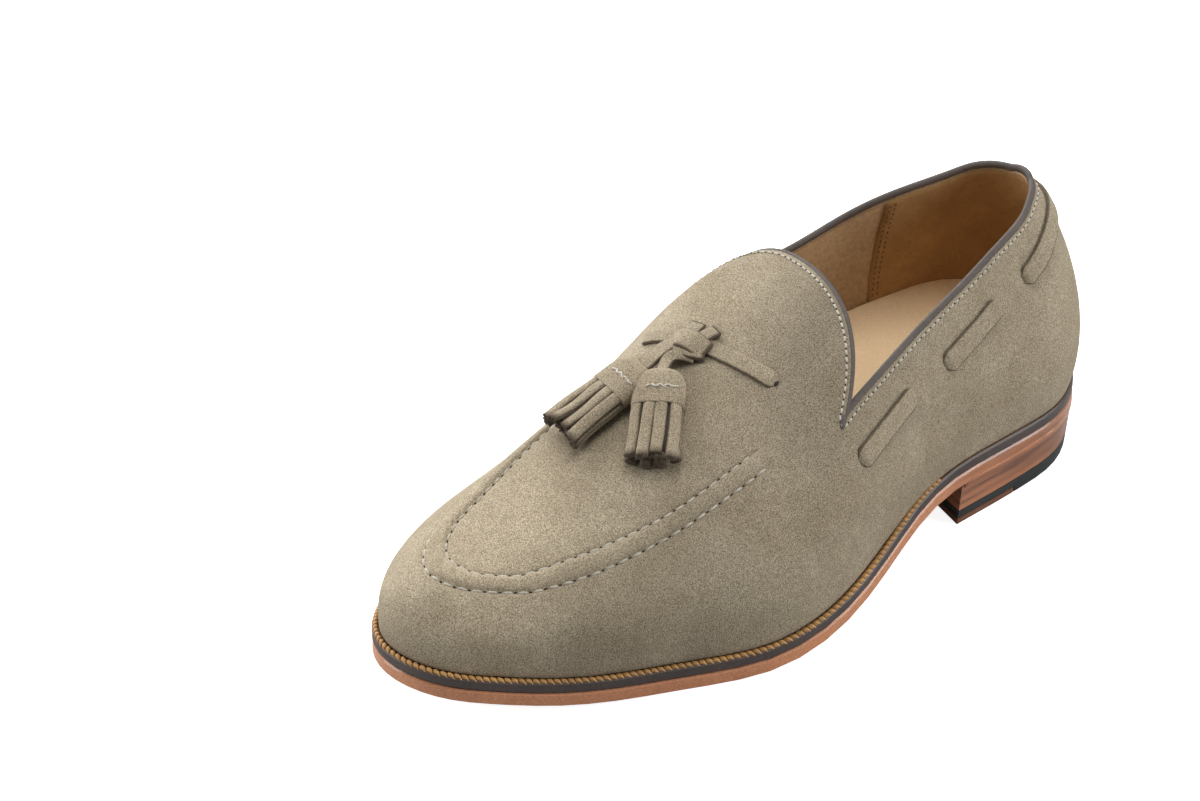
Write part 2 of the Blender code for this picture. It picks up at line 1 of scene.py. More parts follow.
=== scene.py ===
"""A left tassel loafer in taupe suede on a leather sole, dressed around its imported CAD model.

The toe points along -Y, the little toe side along +X. Sizes are in millimetres until a mesh is
made, and places on the upper are given as (side, share, rise): side 1 lateral or -1 medial,
share of the length from the back of the heel, rise 0 at the sole, 1 at the shoulder, 2 at the
ridge of the vamp.
"""
import math

import bmesh
import bpy
import numpy as np
from mathutils import Matrix, Vector


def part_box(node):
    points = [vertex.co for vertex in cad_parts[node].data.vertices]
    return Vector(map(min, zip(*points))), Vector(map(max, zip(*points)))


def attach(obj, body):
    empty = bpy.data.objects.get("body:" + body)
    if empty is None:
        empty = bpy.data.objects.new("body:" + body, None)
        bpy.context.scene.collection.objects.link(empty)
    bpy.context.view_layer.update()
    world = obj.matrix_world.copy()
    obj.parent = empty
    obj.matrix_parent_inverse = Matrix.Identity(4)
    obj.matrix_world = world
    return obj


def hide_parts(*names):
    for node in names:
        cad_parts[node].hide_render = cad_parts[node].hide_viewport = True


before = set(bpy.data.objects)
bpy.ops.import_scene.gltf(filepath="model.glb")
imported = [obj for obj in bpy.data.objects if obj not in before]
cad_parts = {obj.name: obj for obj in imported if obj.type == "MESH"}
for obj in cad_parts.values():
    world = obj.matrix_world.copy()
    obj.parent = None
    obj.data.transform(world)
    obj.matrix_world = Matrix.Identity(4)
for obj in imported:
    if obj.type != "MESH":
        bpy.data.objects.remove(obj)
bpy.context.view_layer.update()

# Camera: a long lens at the outer side of the toe, looking down at the shoe standing on its
# sole, with the shoe to the right of the frame's middle as in the photograph.
MM = 0.001
AZIMUTH, ELEVATION = math.radians(52.456), math.radians(36.0)
CAMERA_DISTANCE = 1750.0
CAMERA_LENS = 144.74
CAMERA_TARGET = Vector((-103.76, 14.51, 0.0))
back = Vector((math.sin(AZIMUTH) * math.cos(ELEVATION), -math.cos(AZIMUTH) * math.cos(ELEVATION),
               math.sin(ELEVATION)))
camera_data = bpy.data.cameras.new("camera")
camera_data.lens = CAMERA_LENS
camera_data.sensor_width = 36.0
camera_data.clip_start = 0.05
camera = bpy.data.objects.new("camera", camera_data)
camera.location = (CAMERA_TARGET + back * CAMERA_DISTANCE) * MM
camera.rotation_euler = back.to_track_quat("Z", "Y").to_euler()
bpy.context.scene.collection.objects.link(camera)
bpy.context.scene.camera = camera

# Upper: vamp, quarters and tongue of calf suede, closed over a wooden last and pulled tight to
# the sole. The functions give that last's surface from a few driving sizes and section tables.
sole_low, sole_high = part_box("outsole")
LENGTH = (sole_high.y - sole_low.y) / MM
AXIS_ASIDE = -7.561
AXIS = np.array([AXIS_ASIDE, (sole_high.y + sole_low.y) / 2 / MM, 0.0])
UP = np.array([0.0, 0.0, 1.0])
BALL_WIDTH = 106.0
COLLAR_HEIGHT = 102.0
HEEL_RISE = 17.3
SOLE_THICK = 10.2
# how far the welt shows round the forepart and at the heel, and the toe swings to the medial side
WELT_SHOW, RAND_SHOW = 2.6, 1.0
TOE_SWING, TOE_SWING_START = 3.3, 0.75
# shares of length: breast of the heel, middle of the heel's round, end of the quarters, middle of
# the toe's round, tip of the tongue
BREAST, HEEL_CENTRE, CORNER, TOE_CENTRE, TONGUE_TOP = 0.262, 0.119, 0.46, 0.86, 0.378
CENTRE_SHIFT, HEEL_BLEND = 0.015, 12.0
# share of length, lateral and medial half width of the outsole (of ball width)
OUTLINE = [
    (0.03, 0.209, 0.205), (0.08, 0.312, 0.295), (0.14, 0.352, 0.322), (0.21, 0.370, 0.322),
    (0.30, 0.395, 0.300), (0.40, 0.490, 0.285), (0.50, 0.585, 0.330), (0.58, 0.604, 0.392),
    (0.66, 0.556, 0.440), (0.73, 0.478, 0.462), (0.80, 0.411, 0.448), (0.87, 0.338, 0.384),
    (0.93, 0.256, 0.288), (0.97, 0.182, 0.190),
]
# share of length, height of the outsole's underside (of heel rise)
UNDERSIDE = [
    (0.00, 1.000), (0.12, 1.000), (0.27, 1.000), (0.32, 0.895), (0.40, 0.640), (0.48, 0.361),
    (0.56, 0.120), (0.62, 0.010), (0.65, 0.000), (0.71, 0.000), (0.75, 0.014), (0.84, 0.140),
    (0.90, 0.303), (0.95, 0.486), (1.00, 0.705),
]
# share of length, lateral and medial reach of the shoulder (of half width), lateral and medial
# height (of collar height), inward lean (degrees)
SHOULDER = [
    (0.000, 0.53, 0.53, 1.018, 1.018, 32), (0.030, 0.497, 0.53, 1.012, 1.018, 29),
    (0.080, 0.484, 0.59, 0.991, 1.001, 22), (0.119, 0.525, 0.65, 0.972, 0.980, 17),
    (0.180, 0.625, 0.80, 0.940, 0.947, 14), (0.240, 0.70, 0.99, 0.890, 0.895, 15),
    (0.300, 0.74, 1.12, 0.838, 0.850, 18), (0.400, 0.75, 1.24, 0.760, 0.840, 27),
    (0.460, 0.76, 1.24, 0.715, 0.835, 36), (0.540, 0.81, 1.13, 0.575, 0.690, 42),
    (0.620, 0.87, 1.01, 0.455, 0.535, 42), (0.700, 0.92, 0.95, 0.385, 0.410, 42),
    (0.780, 0.93, 0.94, 0.360, 0.368, 42), (0.860, 0.93, 0.93, 0.350, 0.352, 42),
    (0.930, 0.92, 0.92, 0.350, 0.350, 42), (1.000, 0.91, 0.91, 0.355, 0.355, 42),
]
# share of length, outward lean of the wall's foot, lateral and medial (degrees)
FOOT_LEAN = [
    (0.00, 16, 16), (0.12, 16, 18), (0.30, 8, 26), (0.45, 6, 26), (0.60, 12, 18),
    (0.75, 14, 12), (1.00, 8, 8),
]
# share of length, height of the vamp's ridge (of collar height), side offset (of ball width)
RIDGE = [
    (0.36, 0.985, -0.080), (0.42, 0.945, -0.080), (0.50, 0.860, -0.075), (0.58, 0.780, -0.075),
    (0.66, 0.700, -0.070), (0.74, 0.615, -0.060), (0.80, 0.550, -0.050), (0.86, 0.490, -0.040),
    (0.94, 0.415, -0.035),
]
# share of length, lateral outer and inner, medial outer and inner edge of the apron's band (of
# the way from shoulder to ridge)
APRON = [
    (0.46, 0.270, 0.370, 0.480, 0.580), (0.60, 0.267, 0.367, 0.480, 0.590),
    (0.70, 0.250, 0.350, 0.480, 0.610), (0.80, 0.235, 0.385, 0.485, 0.670),
    (0.86, 0.275, 0.455, 0.465, 0.680), (0.93, 0.355, 0.560, 0.440, 0.675),
    (1.00, 0.435, 0.680, 0.435, 0.680),
]
APRON_END = {1: 0.590, -1: 0.640}
APRON_FADE = 0.022
APRON_ROLL, APRON_GROOVE, GROOVE_WIDTH = 1.25, 0.55, 0.11
# share of length, fullness of the vamp between shoulder and ridge, lateral and medial
FULLNESS = [(0.46, 1.20, 1.50), (0.80, 1.20, 1.50), (0.92, 1.20, 1.32), (1.00, 1.20, 1.20)]
TONGUE_PULL, TONGUE_EASE, TONGUE_REACH = 1.35, 0.25, 0.22


def spline(rows, column):
    """Smooth curve through one column of a table, against its first column."""
    x, y = (np.array([row[c] for row in rows], float) for c in (0, column))
    count, step = len(x), np.diff(x)
    matrix, right = np.eye(count), np.zeros(count)
    for i in range(1, count - 1):
        matrix[i, i - 1:i + 2] = step[i - 1], 2 * (step[i - 1] + step[i]), step[i]
        right[i] = 6 * ((y[i + 1] - y[i]) / step[i] - (y[i] - y[i - 1]) / step[i - 1])
    bend = np.linalg.solve(matrix, right)

    def value(at):
        i = np.clip(np.searchsorted(x, at) - 1, 0, count - 2)
        after, before, gap = at - x[i], x[i + 1] - at, step[i]
        return ((bend[i] * before ** 3 + bend[i + 1] * after ** 3) / (6 * gap)
                + (y[i] / gap - bend[i] * gap / 6) * before
                + (y[i + 1] / gap - bend[i + 1] * gap / 6) * after)
    return value


def rounded(rows, column):
    """The same for a width that closes in a round end at both ends of the length."""
    inner = spline([(row[0], row[column] / math.sqrt(row[0] * (1 - row[0]))) for row in rows], 1)
    return lambda at: inner(at) * np.sqrt(np.maximum(at * (1 - at), 0.0))


def by_side(make, rows, lateral, medial):
    """One curve for either side of the shoe."""
    curves = make(rows, lateral), make(rows, medial)
    return lambda side, at: np.where(side > 0, curves[0](at), curves[1](at))


half_width = by_side(rounded, OUTLINE, 1, 2)
reach = by_side(spline, SHOULDER, 1, 2)
shoulder_height = by_side(spline, SHOULDER, 3, 4)
shoulder_lean = spline(SHOULDER, 5)
foot_lean = by_side(spline, FOOT_LEAN, 1, 2)
ridge_height, ridge_offset = spline(RIDGE, 1), spline(RIDGE, 2)
underside = spline(UNDERSIDE, 1)
apron_outer, apron_inner = by_side(spline, APRON, 1, 3), by_side(spline, APRON, 2, 4)
fullness = by_side(spline, FULLNESS, 1, 2)


def ease(value, start, end):
    """0 before start, 1 after end, smooth in between."""
    t = np.clip((value - start) / (end - start), 0.0, 1.0)
    return t * t * (3 - 2 * t)


def unit(vector):
    return vector / np.linalg.norm(vector, axis=-1, keepdims=True)


def arrays(*values):
    """The values as arrays of one shape."""
    return np.broadcast_arrays(*(np.asarray(value, float) for value in values))


def stack(x, y, z):
    return np.stack(np.broadcast_arrays(x, y, z), -1)


def along(share):
    return LENGTH * (0.5 - share)


def under(share):
    """Height of the outsole's underside."""
    return HEEL_RISE * np.maximum(underside(share), 0.0)


def outline(side, share, inset):
    """Point of the sole's outline, moved inward square to the outline."""
    def raw(at):
        swing = -TOE_SWING * ease(at, TOE_SWING_START, 1.0)
        return stack(swing + side * BALL_WIDTH * half_width(side, at), along(at), 0.0)
    near = 1e-4
    at = np.clip(share, near, 1 - near)
    run = unit(raw(at + near) - raw(at - near))
    inward = stack(run[..., 1] * side, -run[..., 0] * side, 0.0)
    point = raw(np.clip(share, 0.0, 1.0)) + inward * np.asarray(inset)[..., None]
    end = (share <= 0) | (share >= 1)
    point[..., 0] = np.where(end, -TOE_SWING * (share > 0.5), point[..., 0])
    point[..., 1] = np.where(end, along(share) - np.copysign(inset, along(share)), point[..., 1])
    return point


def feather(share):
    """How far the upper's foot stands back from the sole's edge."""
    return RAND_SHOW + (WELT_SHOW - RAND_SHOW) * ease(share, BREAST, CORNER)


def section(side, share):
    """Foot and shoulder of the wall, with its directions there."""
    foot = outline(side, share, feather(share))
    past = foot[..., 1] - along(HEEL_CENTRE)
    blend = np.clip(past + HEEL_BLEND, 0.0, 2 * HEEL_BLEND) ** 2 / (4 * HEEL_BLEND)
    y = np.maximum(foot[..., 1] - np.where(past > HEEL_BLEND, past, blend), along(TOE_CENTRE))
    forward = ease(share, CORNER, TOE_CENTRE)
    shift = CENTRE_SHIFT + (ridge_offset(TOE_CENTRE) - CENTRE_SHIFT) * forward
    centre = stack(BALL_WIDTH * shift * ease(share, 0.0, HEEL_CENTRE), y, 0.0)
    spoke = foot - centre
    out = unit(spoke)
    top = centre + spoke * reach(side, share)[..., None]
    foot[..., 2] = under(share) + SOLE_THICK
    top[..., 2] = COLLAR_HEIGHT * shoulder_height(side, share)
    ways = []
    for lean, sign in ((foot_lean(side, share), 1), (shoulder_lean(share), -1)):
        lean = np.radians(lean)[..., None]
        ways.append(out * np.sin(lean) * sign + UP * np.cos(lean))
    return foot, ways[0], top, ways[1], out


def hermite(start, start_way, end, end_way, t):
    """Curve between two points that leaves and arrives along the given ways."""
    t = t[..., None]
    return (start * (2 * t ** 3 - 3 * t ** 2 + 1) + start_way * (t ** 3 - 2 * t ** 2 + t)
            + end * (3 * t ** 2 - 2 * t ** 3) + end_way * (t ** 3 - t ** 2))


def ridge(share):
    return stack(BALL_WIDTH * ridge_offset(share), along(share),
                 COLLAR_HEIGHT * ridge_height(share))


def last(side, share, rise):
    """Points of the last's surface. A share past either end goes on along the other side."""
    side, share, rise = arrays(side, share, rise)
    beyond = (share < 0) | (share > 1)
    side = np.where(beyond, -side, side)
    share = np.where(beyond, 2 * np.round(share) - share, share)
    foot, foot_way, top, top_way, out = section(side, share)
    length = np.linalg.norm(top - foot, axis=-1, keepdims=True)
    wall = hermite(foot, foot_way * length, top, top_way * length, np.clip(rise, 0.0, 1.0))
    step = 0.01
    pull = (1 - ease(share, CORNER, CORNER + TONGUE_REACH))[..., None]
    backward = unit(section(side, share - step)[2] - section(side, share + step)[2])
    start_way = unit(top_way * (1 - TONGUE_EASE * pull) + backward * TONGUE_PULL * pull)
    slide = (TOE_CENTRE - np.minimum(share, TOE_CENTRE)) / (TOE_CENTRE - CORNER)
    at = TOE_CENTRE - slide * (TOE_CENTRE - TONGUE_TOP)
    end = ridge(at)
    slope = (ridge(at - step)[..., 2] - ridge(at + step)[..., 2]) / (2 * step * LENGTH)
    toe = share > TOE_CENTRE
    way_x, way_y = np.where(toe, -out[..., 0], -side), np.where(toe, -out[..., 1], 0.0)
    end_way = stack(way_x, way_y, slope * way_y)
    full = (fullness(side, share) * np.linalg.norm(end - top, axis=-1))[..., None]
    cap = hermite(top, start_way * full, end, end_way * full, np.clip(rise - 1, 0.0, 1.0))
    return np.where((rise <= 1)[..., None], wall, cap) + AXIS


def last_normal(side, share, rise):
    """Outward direction of the last's surface, the same for both sides at the ridge."""
    side, share, rise = arrays(side, share, rise)
    near_ridge, step, meeting = 0.015, 0.004, 1.9
    at, ways = np.minimum(rise, 2 - near_ridge), []
    for flank in (side, -side):
        up = last(flank, share, at + step) - last(flank, share, at - step)
        run = last(flank, share + step, at) - last(flank, share - step, at)
        ways.append(unit(np.cross(run, up)) * -flank[..., None])
    other = 0.5 * ease(rise, meeting, 2.0)[..., None]
    return unit(ways[0] * (1 - other) + ways[1] * other)


# share of length and rise of the lace that runs in a tunnel round the quarters
LACE_PATH = [(0.0, 0.86), (0.03, 0.845), (0.137, 0.77), (0.186, 0.765), (0.235, 0.73),
             (0.284, 0.70), (0.340, 0.73), (0.400, 0.72), (0.452, 0.72), (0.50, 0.70)]
TUNNEL_HEIGHT, TUNNEL_WIDTH = 0.35, 0.055
TUNNEL_FADE, TUNNEL_END = 0.44, 0.50
# soft dents of suede pulled over a last: side, share and rise of the middle, turn from the
# shoe's length (degrees), half length, half width and height (below 0 a trough)
DENTS = [
    (1, 0.522, 1.07, 58, 13.0, 4.0, -0.90), (1, 0.495, 0.90, 52, 12.0, 4.0, -0.70),
    (1, 0.508, 0.99, 58, 13.0, 3.5, 0.45), (1, 0.565, 0.95, 75, 15.0, 6.0, -0.45),
    (1, 0.300, 0.40, 15, 24.0, 7.0, -0.75), (1, 0.385, 0.30, -10, 20.0, 6.0, 0.45),
    (1, 0.200, 0.36, 78, 14.0, 6.0, -0.60), (1, 0.620, 0.62, 20, 24.0, 7.0, -0.50),
    (1, 0.690, 1.12, 80, 16.0, 6.0, -0.40),
    (-1, 0.350, 0.45, 10, 22.0, 7.0, -0.75), (-1, 0.600, 0.55, -15, 22.0, 7.0, -0.50),
]
DENT_SPAN = 55.0
lace_rise = spline(LACE_PATH, 1)


def dents(side, share, rise):
    """Height of the soft dents at a place."""
    total = np.zeros(np.shape(share))
    for flank, at, up, turn, half_long, half_wide, height in DENTS:
        x, y = (share - at) * LENGTH, (rise - up) * DENT_SPAN
        cos, sin = math.cos(math.radians(turn)), math.sin(math.radians(turn))
        shape = np.exp(-((x * cos + y * sin) / half_long) ** 2
                       - ((y * cos - x * sin) / half_wide) ** 2)
        total = total + height * shape * (side == flank)
    return total


def relief(side, share, rise):
    """How far the suede stands off the last: apron roll with its stitched grooves, lace tunnel."""
    outer, inner = apron_outer(side, share), apron_inner(side, share)
    across = (rise - 1 - outer) / (inner - outer)
    end = np.where(side > 0, APRON_END[1], APRON_END[-1])
    here = ease(share, end - APRON_FADE, end + APRON_FADE) * (rise > 1)
    roll = APRON_ROLL * np.sqrt(np.clip(1 - (2 * across - 1) ** 2, 0.0, 1.0))
    groove = APRON_GROOVE * sum(np.exp(-((across - edge) / GROOVE_WIDTH) ** 2)
                                for edge in (0.0, 1.0))
    tunnel = TUNNEL_HEIGHT * np.exp(-((rise - lace_rise(np.minimum(share, TUNNEL_END)))
                                      / TUNNEL_WIDTH) ** 2)
    return here * (roll - groove) + tunnel * (1 - ease(share, TUNNEL_FADE, TUNNEL_END))


def skin(side, share, rise, lift=0.0):
    """Point of the suede's face, moved outward by lift."""
    side, share, rise = arrays(side, share, rise)
    inside = (share >= 0) & (share <= 1)
    flank = np.where(inside, side, -side)
    at = np.abs(np.where(share > 1, 2 - share, share))
    stand = relief(flank, at, rise) + dents(flank, at, rise)
    return last(side, share, rise) + last_normal(side, share, rise) * (stand + lift)[..., None]


def shares_past(start, *stations):
    """Shares from start past stations (share, steps to it), closer where the outline turns."""
    shares = []
    for final, count in stations:
        t = np.linspace(0, 1, count + 1)[:-1]
        t = t ** 2 if start == 0 else 1 - (1 - t) ** 2 if final == 1 else t
        shares.extend(start + (final - start) * t)
        start = final
    return np.array(shares + [start])


def there_and_back(lateral, medial):
    """Sides and shares of a line on the lateral half that goes on along the medial half."""
    return np.repeat([1.0, -1.0], [len(lateral), len(medial)]), np.concatenate([lateral, medial])


def run_of(line):
    """Length along a line up to each of its points."""
    return np.concatenate([[0], np.cumsum(np.linalg.norm(np.diff(line, axis=0), axis=1))])


# distances at which the points of any mesh, and of the sheets' edges, merge
WELD, SHEET_WELD = 0.003, 0.02


def new_mesh():
    """Empty bmesh whose points can carry a shade, 0 plain to 1 dark: cut edges, and painted shade
    along straps, in a fringe's slits and under a tassel's cap.
    """
    made = bmesh.new()
    made.verts.layers.float.new("shade")
    return made


def add_grid(made, rows, columns, point, shade=None, kind=0):
    """Grid of faces with a vertex at point(row, column) for every pair of values."""
    layer = made.verts.layers.float["shade"]
    verts = bmesh.ops.create_grid(made, x_segments=len(rows) - 1, y_segments=len(columns) - 1,
                                  size=0.5)["verts"]
    place = np.array([v.co[:2] for v in verts]) + 0.5
    row = np.asarray(rows)[np.rint(place[:, 0] * (len(rows) - 1)).astype(int)]
    column = np.asarray(columns)[np.rint(place[:, 1] * (len(columns) - 1)).astype(int)]
    for vert, spot in zip(verts, point(row, column) * MM):
        vert.co = spot
    if shade:
        for vert, value in zip(verts, shade(row, column)):
            vert[layer] = value
    if kind:
        for face in {face for vert in verts for face in vert.link_faces}:
            face.material_index = kind


def mesh_object(name, made, materials):
    """Turn a bmesh into an object of the scene."""
    mesh = bpy.data.meshes.new(name)
    made.to_mesh(mesh)
    made.free()
    for each in materials:
        mesh.materials.append(each)
    piece = bpy.data.objects.new(name, mesh)
    bpy.context.scene.collection.objects.link(piece)
    return piece


def finish_mesh(name, made, materials, thickness=0.0):
    """Turn a bmesh into an object that rides on the shoe, a sheet thickened inward."""
    bmesh.ops.remove_doubles(made, verts=made.verts, dist=WELD * MM)
    bmesh.ops.recalc_face_normals(made, faces=made.faces)
    for face in made.faces:
        face.smooth = True
    piece = mesh_object(name, made, materials)
    if thickness:
        wall = piece.modifiers.new("thickness", "SOLIDIFY")
        wall.thickness, wall.offset = thickness * MM, -1
    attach(piece, "root")
    return piece


# columns of the upper's mesh in each stretch, and the part of its rows that the apron's band
# and a margin on either side of it (of its width) take up
HEEL_COLUMNS, QUARTER_COLUMNS, VAMP_COLUMNS, TOE_COLUMNS = 16, 104, 92, 28
UPPER_ROWS, BAND_FROM, BAND_TO, BAND_MARGIN = 50, 0.25, 0.75, 0.25


def cap_place(side, share, t):
    """Rows over the vamp, drawn together on the apron's band."""
    outer, inner = apron_outer(side, share), apron_inner(side, share)
    margin = BAND_MARGIN * (inner - outer)
    low, high = outer - margin, inner + margin
    on_band = low + (t - BAND_FROM) / (BAND_TO - BAND_FROM) * (high - low)
    return np.where(t < BAND_FROM, t / BAND_FROM * low,
                    np.where(t < BAND_TO, on_band,
                             high + (t - BAND_TO) / (1 - BAND_TO) * (1 - high)))


def upper_sheet(lift, fine, wall_rows, cap_rows):
    """The upper's surface as one bmesh, both sides, closed at heel, toe and ridge."""
    made = new_mesh()
    heel, quarter, vamp, toe = (max(8, round(n * fine)) for n in (
        HEEL_COLUMNS, QUARTER_COLUMNS, VAMP_COLUMNS, TOE_COLUMNS))
    rear = shares_past(0, (HEEL_CENTRE, heel), (CORNER, quarter))
    fore = shares_past(CORNER, (TOE_CENTRE, vamp), (1, toe))
    for side in (1, -1):
        for shares in (rear, fore):
            add_grid(made, shares, np.linspace(0, 1, wall_rows + 1),
                     lambda s, r, side=side: skin(side, s, r, lift))
        add_grid(made, fore, np.linspace(0, 1, cap_rows + 1),
                 lambda s, r, side=side: skin(side, s, 1 + cap_place(side, s, r), lift))
    bmesh.ops.remove_doubles(made, verts=made.verts, dist=SHEET_WELD * MM)
    return made


def nodes_of(material):
    """Node tree and Principled shader of a material."""
    material.use_nodes = True
    tree = material.node_tree
    return tree, tree.nodes["Principled BSDF"]


def group_with(name, amount):
    """Node group with two colours and an amount as inputs, a colour and a height as outputs."""
    group = bpy.data.node_groups.new(name, "ShaderNodeTree")
    for way, label, kind in (("INPUT", "Light", "Color"), ("INPUT", "Dark", "Color"),
                             ("INPUT", amount, "Float"), ("OUTPUT", "Color", "Color"),
                             ("OUTPUT", "Height", "Float")):
        group.interface.new_socket(label, in_out=way, socket_type="NodeSocket" + kind)
    return group, group.nodes.new("NodeGroupInput"), group.nodes.new("NodeGroupOutput")


def add(tree, kind, links=(), **settings):
    """New shader node with its settings, and links as (input name or number, socket or value)."""
    node = tree.nodes.new("ShaderNode" + kind)
    for key, value in settings.items():
        setattr(node, key, value)
    for key, value in links:
        if isinstance(value, bpy.types.NodeSocket):
            tree.links.new(value, node.inputs[key])
        else:
            node.inputs[key].default_value = value
    return node


def noise(tree, coordinates, scale, detail=4.0, roughness=0.6, distortion=0.0):
    """Noise on object coordinates, its scale in features per metre."""
    return add(tree, "TexNoise", (("Vector", coordinates), ("Scale", scale), ("Detail", detail),
                                  ("Roughness", roughness),
                                  ("Distortion", distortion))).outputs["Fac"]


def mix(tree, factor, first, second, blend="MIX"):
    """Colour mix of two colours by a factor."""
    return add(tree, "Mix", ((0, factor), (6, first), (7, second)), data_type="RGBA",
               blend_type=blend).outputs[2]


def bands(tree, value, low, high):
    """0 under low, 1 over high."""
    return add(tree, "MapRange", (("Value", value), ("From Min", low),
                                  ("From Max", high))).outputs["Result"]


def tones(tree, value, low, high, first, second):
    """The first colour under low, the second over high."""
    return mix(tree, bands(tree, value, low, high), first, second)


def grey(value):
    return (value, value, value, 1)


def bump(tree, shader, height, strength, depth):
    """Bend the shader's normal over a relief of this depth in metres."""
    node = add(tree, "Bump", (("Height", height), ("Strength", strength), ("Distance", depth)))
    tree.links.new(node.outputs["Normal"], shader.inputs["Normal"])


# the nap: large brushed patches, faint mottling, and the dark roots and light tips of the fibres
PILE_ROOT, PILE_TIP = (0.42, 0.39, 0.36, 1), (1.60, 1.62, 1.60, 1)
nap_group, nap_in, nap_out = group_with("suede_nap", "Contrast")
spot = add(nap_group, "TexCoord").outputs["Object"]
patchy_tone = noise(nap_group, spot, 34.0, 2.0, 0.5, 0.7)
mottled = noise(nap_group, spot, 210.0, 3.0, 0.65)
fibres = noise(nap_group, spot, 2300.0, 3.0, 0.85)
tone = tones(nap_group, patchy_tone, 0.32, 0.68, nap_in.outputs["Dark"], nap_in.outputs["Light"])
uneven = tones(nap_group, mottled, 0.3, 0.7, grey(0.93), grey(1.07))
tone = mix(nap_group, 1.0, tone, uneven, "MULTIPLY")
hairs = tones(nap_group, fibres, 0.38, 0.62, PILE_ROOT, PILE_TIP)
tone = mix(nap_group, nap_in.outputs["Contrast"], tone, hairs, "MULTIPLY")
pile = add(nap_group, "Math", ((0, mottled), (1, 0.5), (2, fibres)), operation="MULTIPLY_ADD")
nap_group.links.new(tone, nap_out.inputs["Color"])
nap_group.links.new(pile.outputs[0], nap_out.inputs["Height"])

TAUPE_LIGHT, TAUPE_DARK = (0.376, 0.318, 0.233, 1), (0.310, 0.257, 0.182, 1)
# the dark tone for cut edges and for painted shade
TAUPE_EDGE_AND_SHADE = (0.075, 0.056, 0.040, 1)
# patches of painted light and shade on the upper's suede, lighter where light falls and darker
# where
# it falls less: place seen from above, radius, and tone (below 0 darker)
PAINTED_LIGHT_SPOTS = [(-8, -98, 34, 1.1), (-26, 6, 16, 0.6), (6, 28, 22, -1.0), (24, 2, 20, -0.7),
           (50, -60, 26, -0.4), (38, -98, 20, -0.9)]
PAINTED_LIGHT_DEPTH = 0.3


def suede(name, light, dark, edge, pile_depth=0.0009, contrast=1.0):
    """Suede with its nap, patches of painted light and shade, and a darker tone at cut edges and
    painted shade.
    """
    material = bpy.data.materials.new(name)
    tree, shader = nodes_of(material)
    nap = add(tree, "Group", (("Light", light), ("Dark", dark), ("Contrast", contrast)),
              node_tree=nap_group)
    shade = add(tree, "Attribute", attribute_name="shade").outputs["Fac"]
    # painted light and shade from the mesh's patches, multiplied into the nap's colour
    painted_light = add(tree, "Attribute", attribute_name="painted_light").outputs["Fac"]
    tone = add(tree, "Math", ((0, painted_light), (1, PAINTED_LIGHT_DEPTH), (2, 1.0)), operation="MULTIPLY_ADD")
    patchy_tone = mix(tree, 1.0, nap.outputs["Color"], tone.outputs[0], "MULTIPLY")
    tree.links.new(mix(tree, shade, patchy_tone, edge), shader.inputs["Base Color"])
    bump(tree, shader, nap.outputs["Height"], 0.6, pile_depth)
    shader.inputs["Roughness"].default_value = 0.95
    shader.inputs["Specular IOR Level"].default_value = 0.12
    shader.inputs["Sheen Weight"].default_value = 0.12
    shader.inputs["Sheen Roughness"].default_value = 0.5
    shader.inputs["Sheen Tint"].default_value = (0.95, 0.88, 0.76, 1)
    return material


SUEDE_THICK = 1.1
taupe_suede = suede("taupe_suede", TAUPE_LIGHT, TAUPE_DARK, TAUPE_EDGE_AND_SHADE)
upper_mesh = upper_sheet(0.0, 1.0, UPPER_ROWS, UPPER_ROWS)
# painted light and shade: each point of the upper takes the tone of the patches around it
painted_light_layer = upper_mesh.verts.layers.float.new("painted_light")
for vert in upper_mesh.verts:
    x, y, _ = vert.co / MM
    vert[painted_light_layer] = sum(tone * math.exp(-((x - at_x) ** 2 + (y - at_y) ** 2) / radius ** 2)
                            for at_x, at_y, radius, tone in PAINTED_LIGHT_SPOTS)
upper = finish_mesh("upper_suede", upper_mesh, [taupe_suede], SUEDE_THICK)
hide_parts("upper")

# Apron seam: the vamp's plug is sewn to the side piece over a rolled edge by two rows of pale
# thread, a coarse one outside and a finer one inside the roll.
# Sizes of a stitch and of a needle hole are its length, width and height.
APRON_PITCH, APRON_STITCH, APRON_START = 5.0, (3.8, 0.95, 0.8), 0.590
INNER_PITCH, INNER_STITCH, INNER_START = 4.6, (3.3, 0.8, 0.7), 0.603
NEEDLE_HOLE = (1.1, 0.95, 0.6)
APRON_LIFT, HOLE_LIFT, UNEVEN_LEAN = 0.3, 0.12, 0.06
# how far the grain moves a leather's roughness down and up
GLOSSIER, DULLER = -0.06, 0.08
rng = np.random.default_rng(11)


def leather_of(name, light, dark, rough=0.45, grain=700.0, depth=0.00012):
    """Leather, thread or rubber in two tones with a fine grain."""
    material = bpy.data.materials.new(name)
    tree, shader = nodes_of(material)
    body = add(tree, "Group", (("Light", light), ("Dark", dark), ("Grain", grain)),
               node_tree=grain_group)
    tree.links.new(body.outputs["Color"], shader.inputs["Base Color"])
    rough_map = add(tree, "MapRange", (("Value", body.outputs["Height"]),
                                       ("To Min", rough + GLOSSIER),
                                       ("To Max", rough + DULLER)))
    tree.links.new(rough_map.outputs["Result"], shader.inputs["Roughness"])
    bump(tree, shader, body.outputs["Height"], 0.5, depth)
    return material


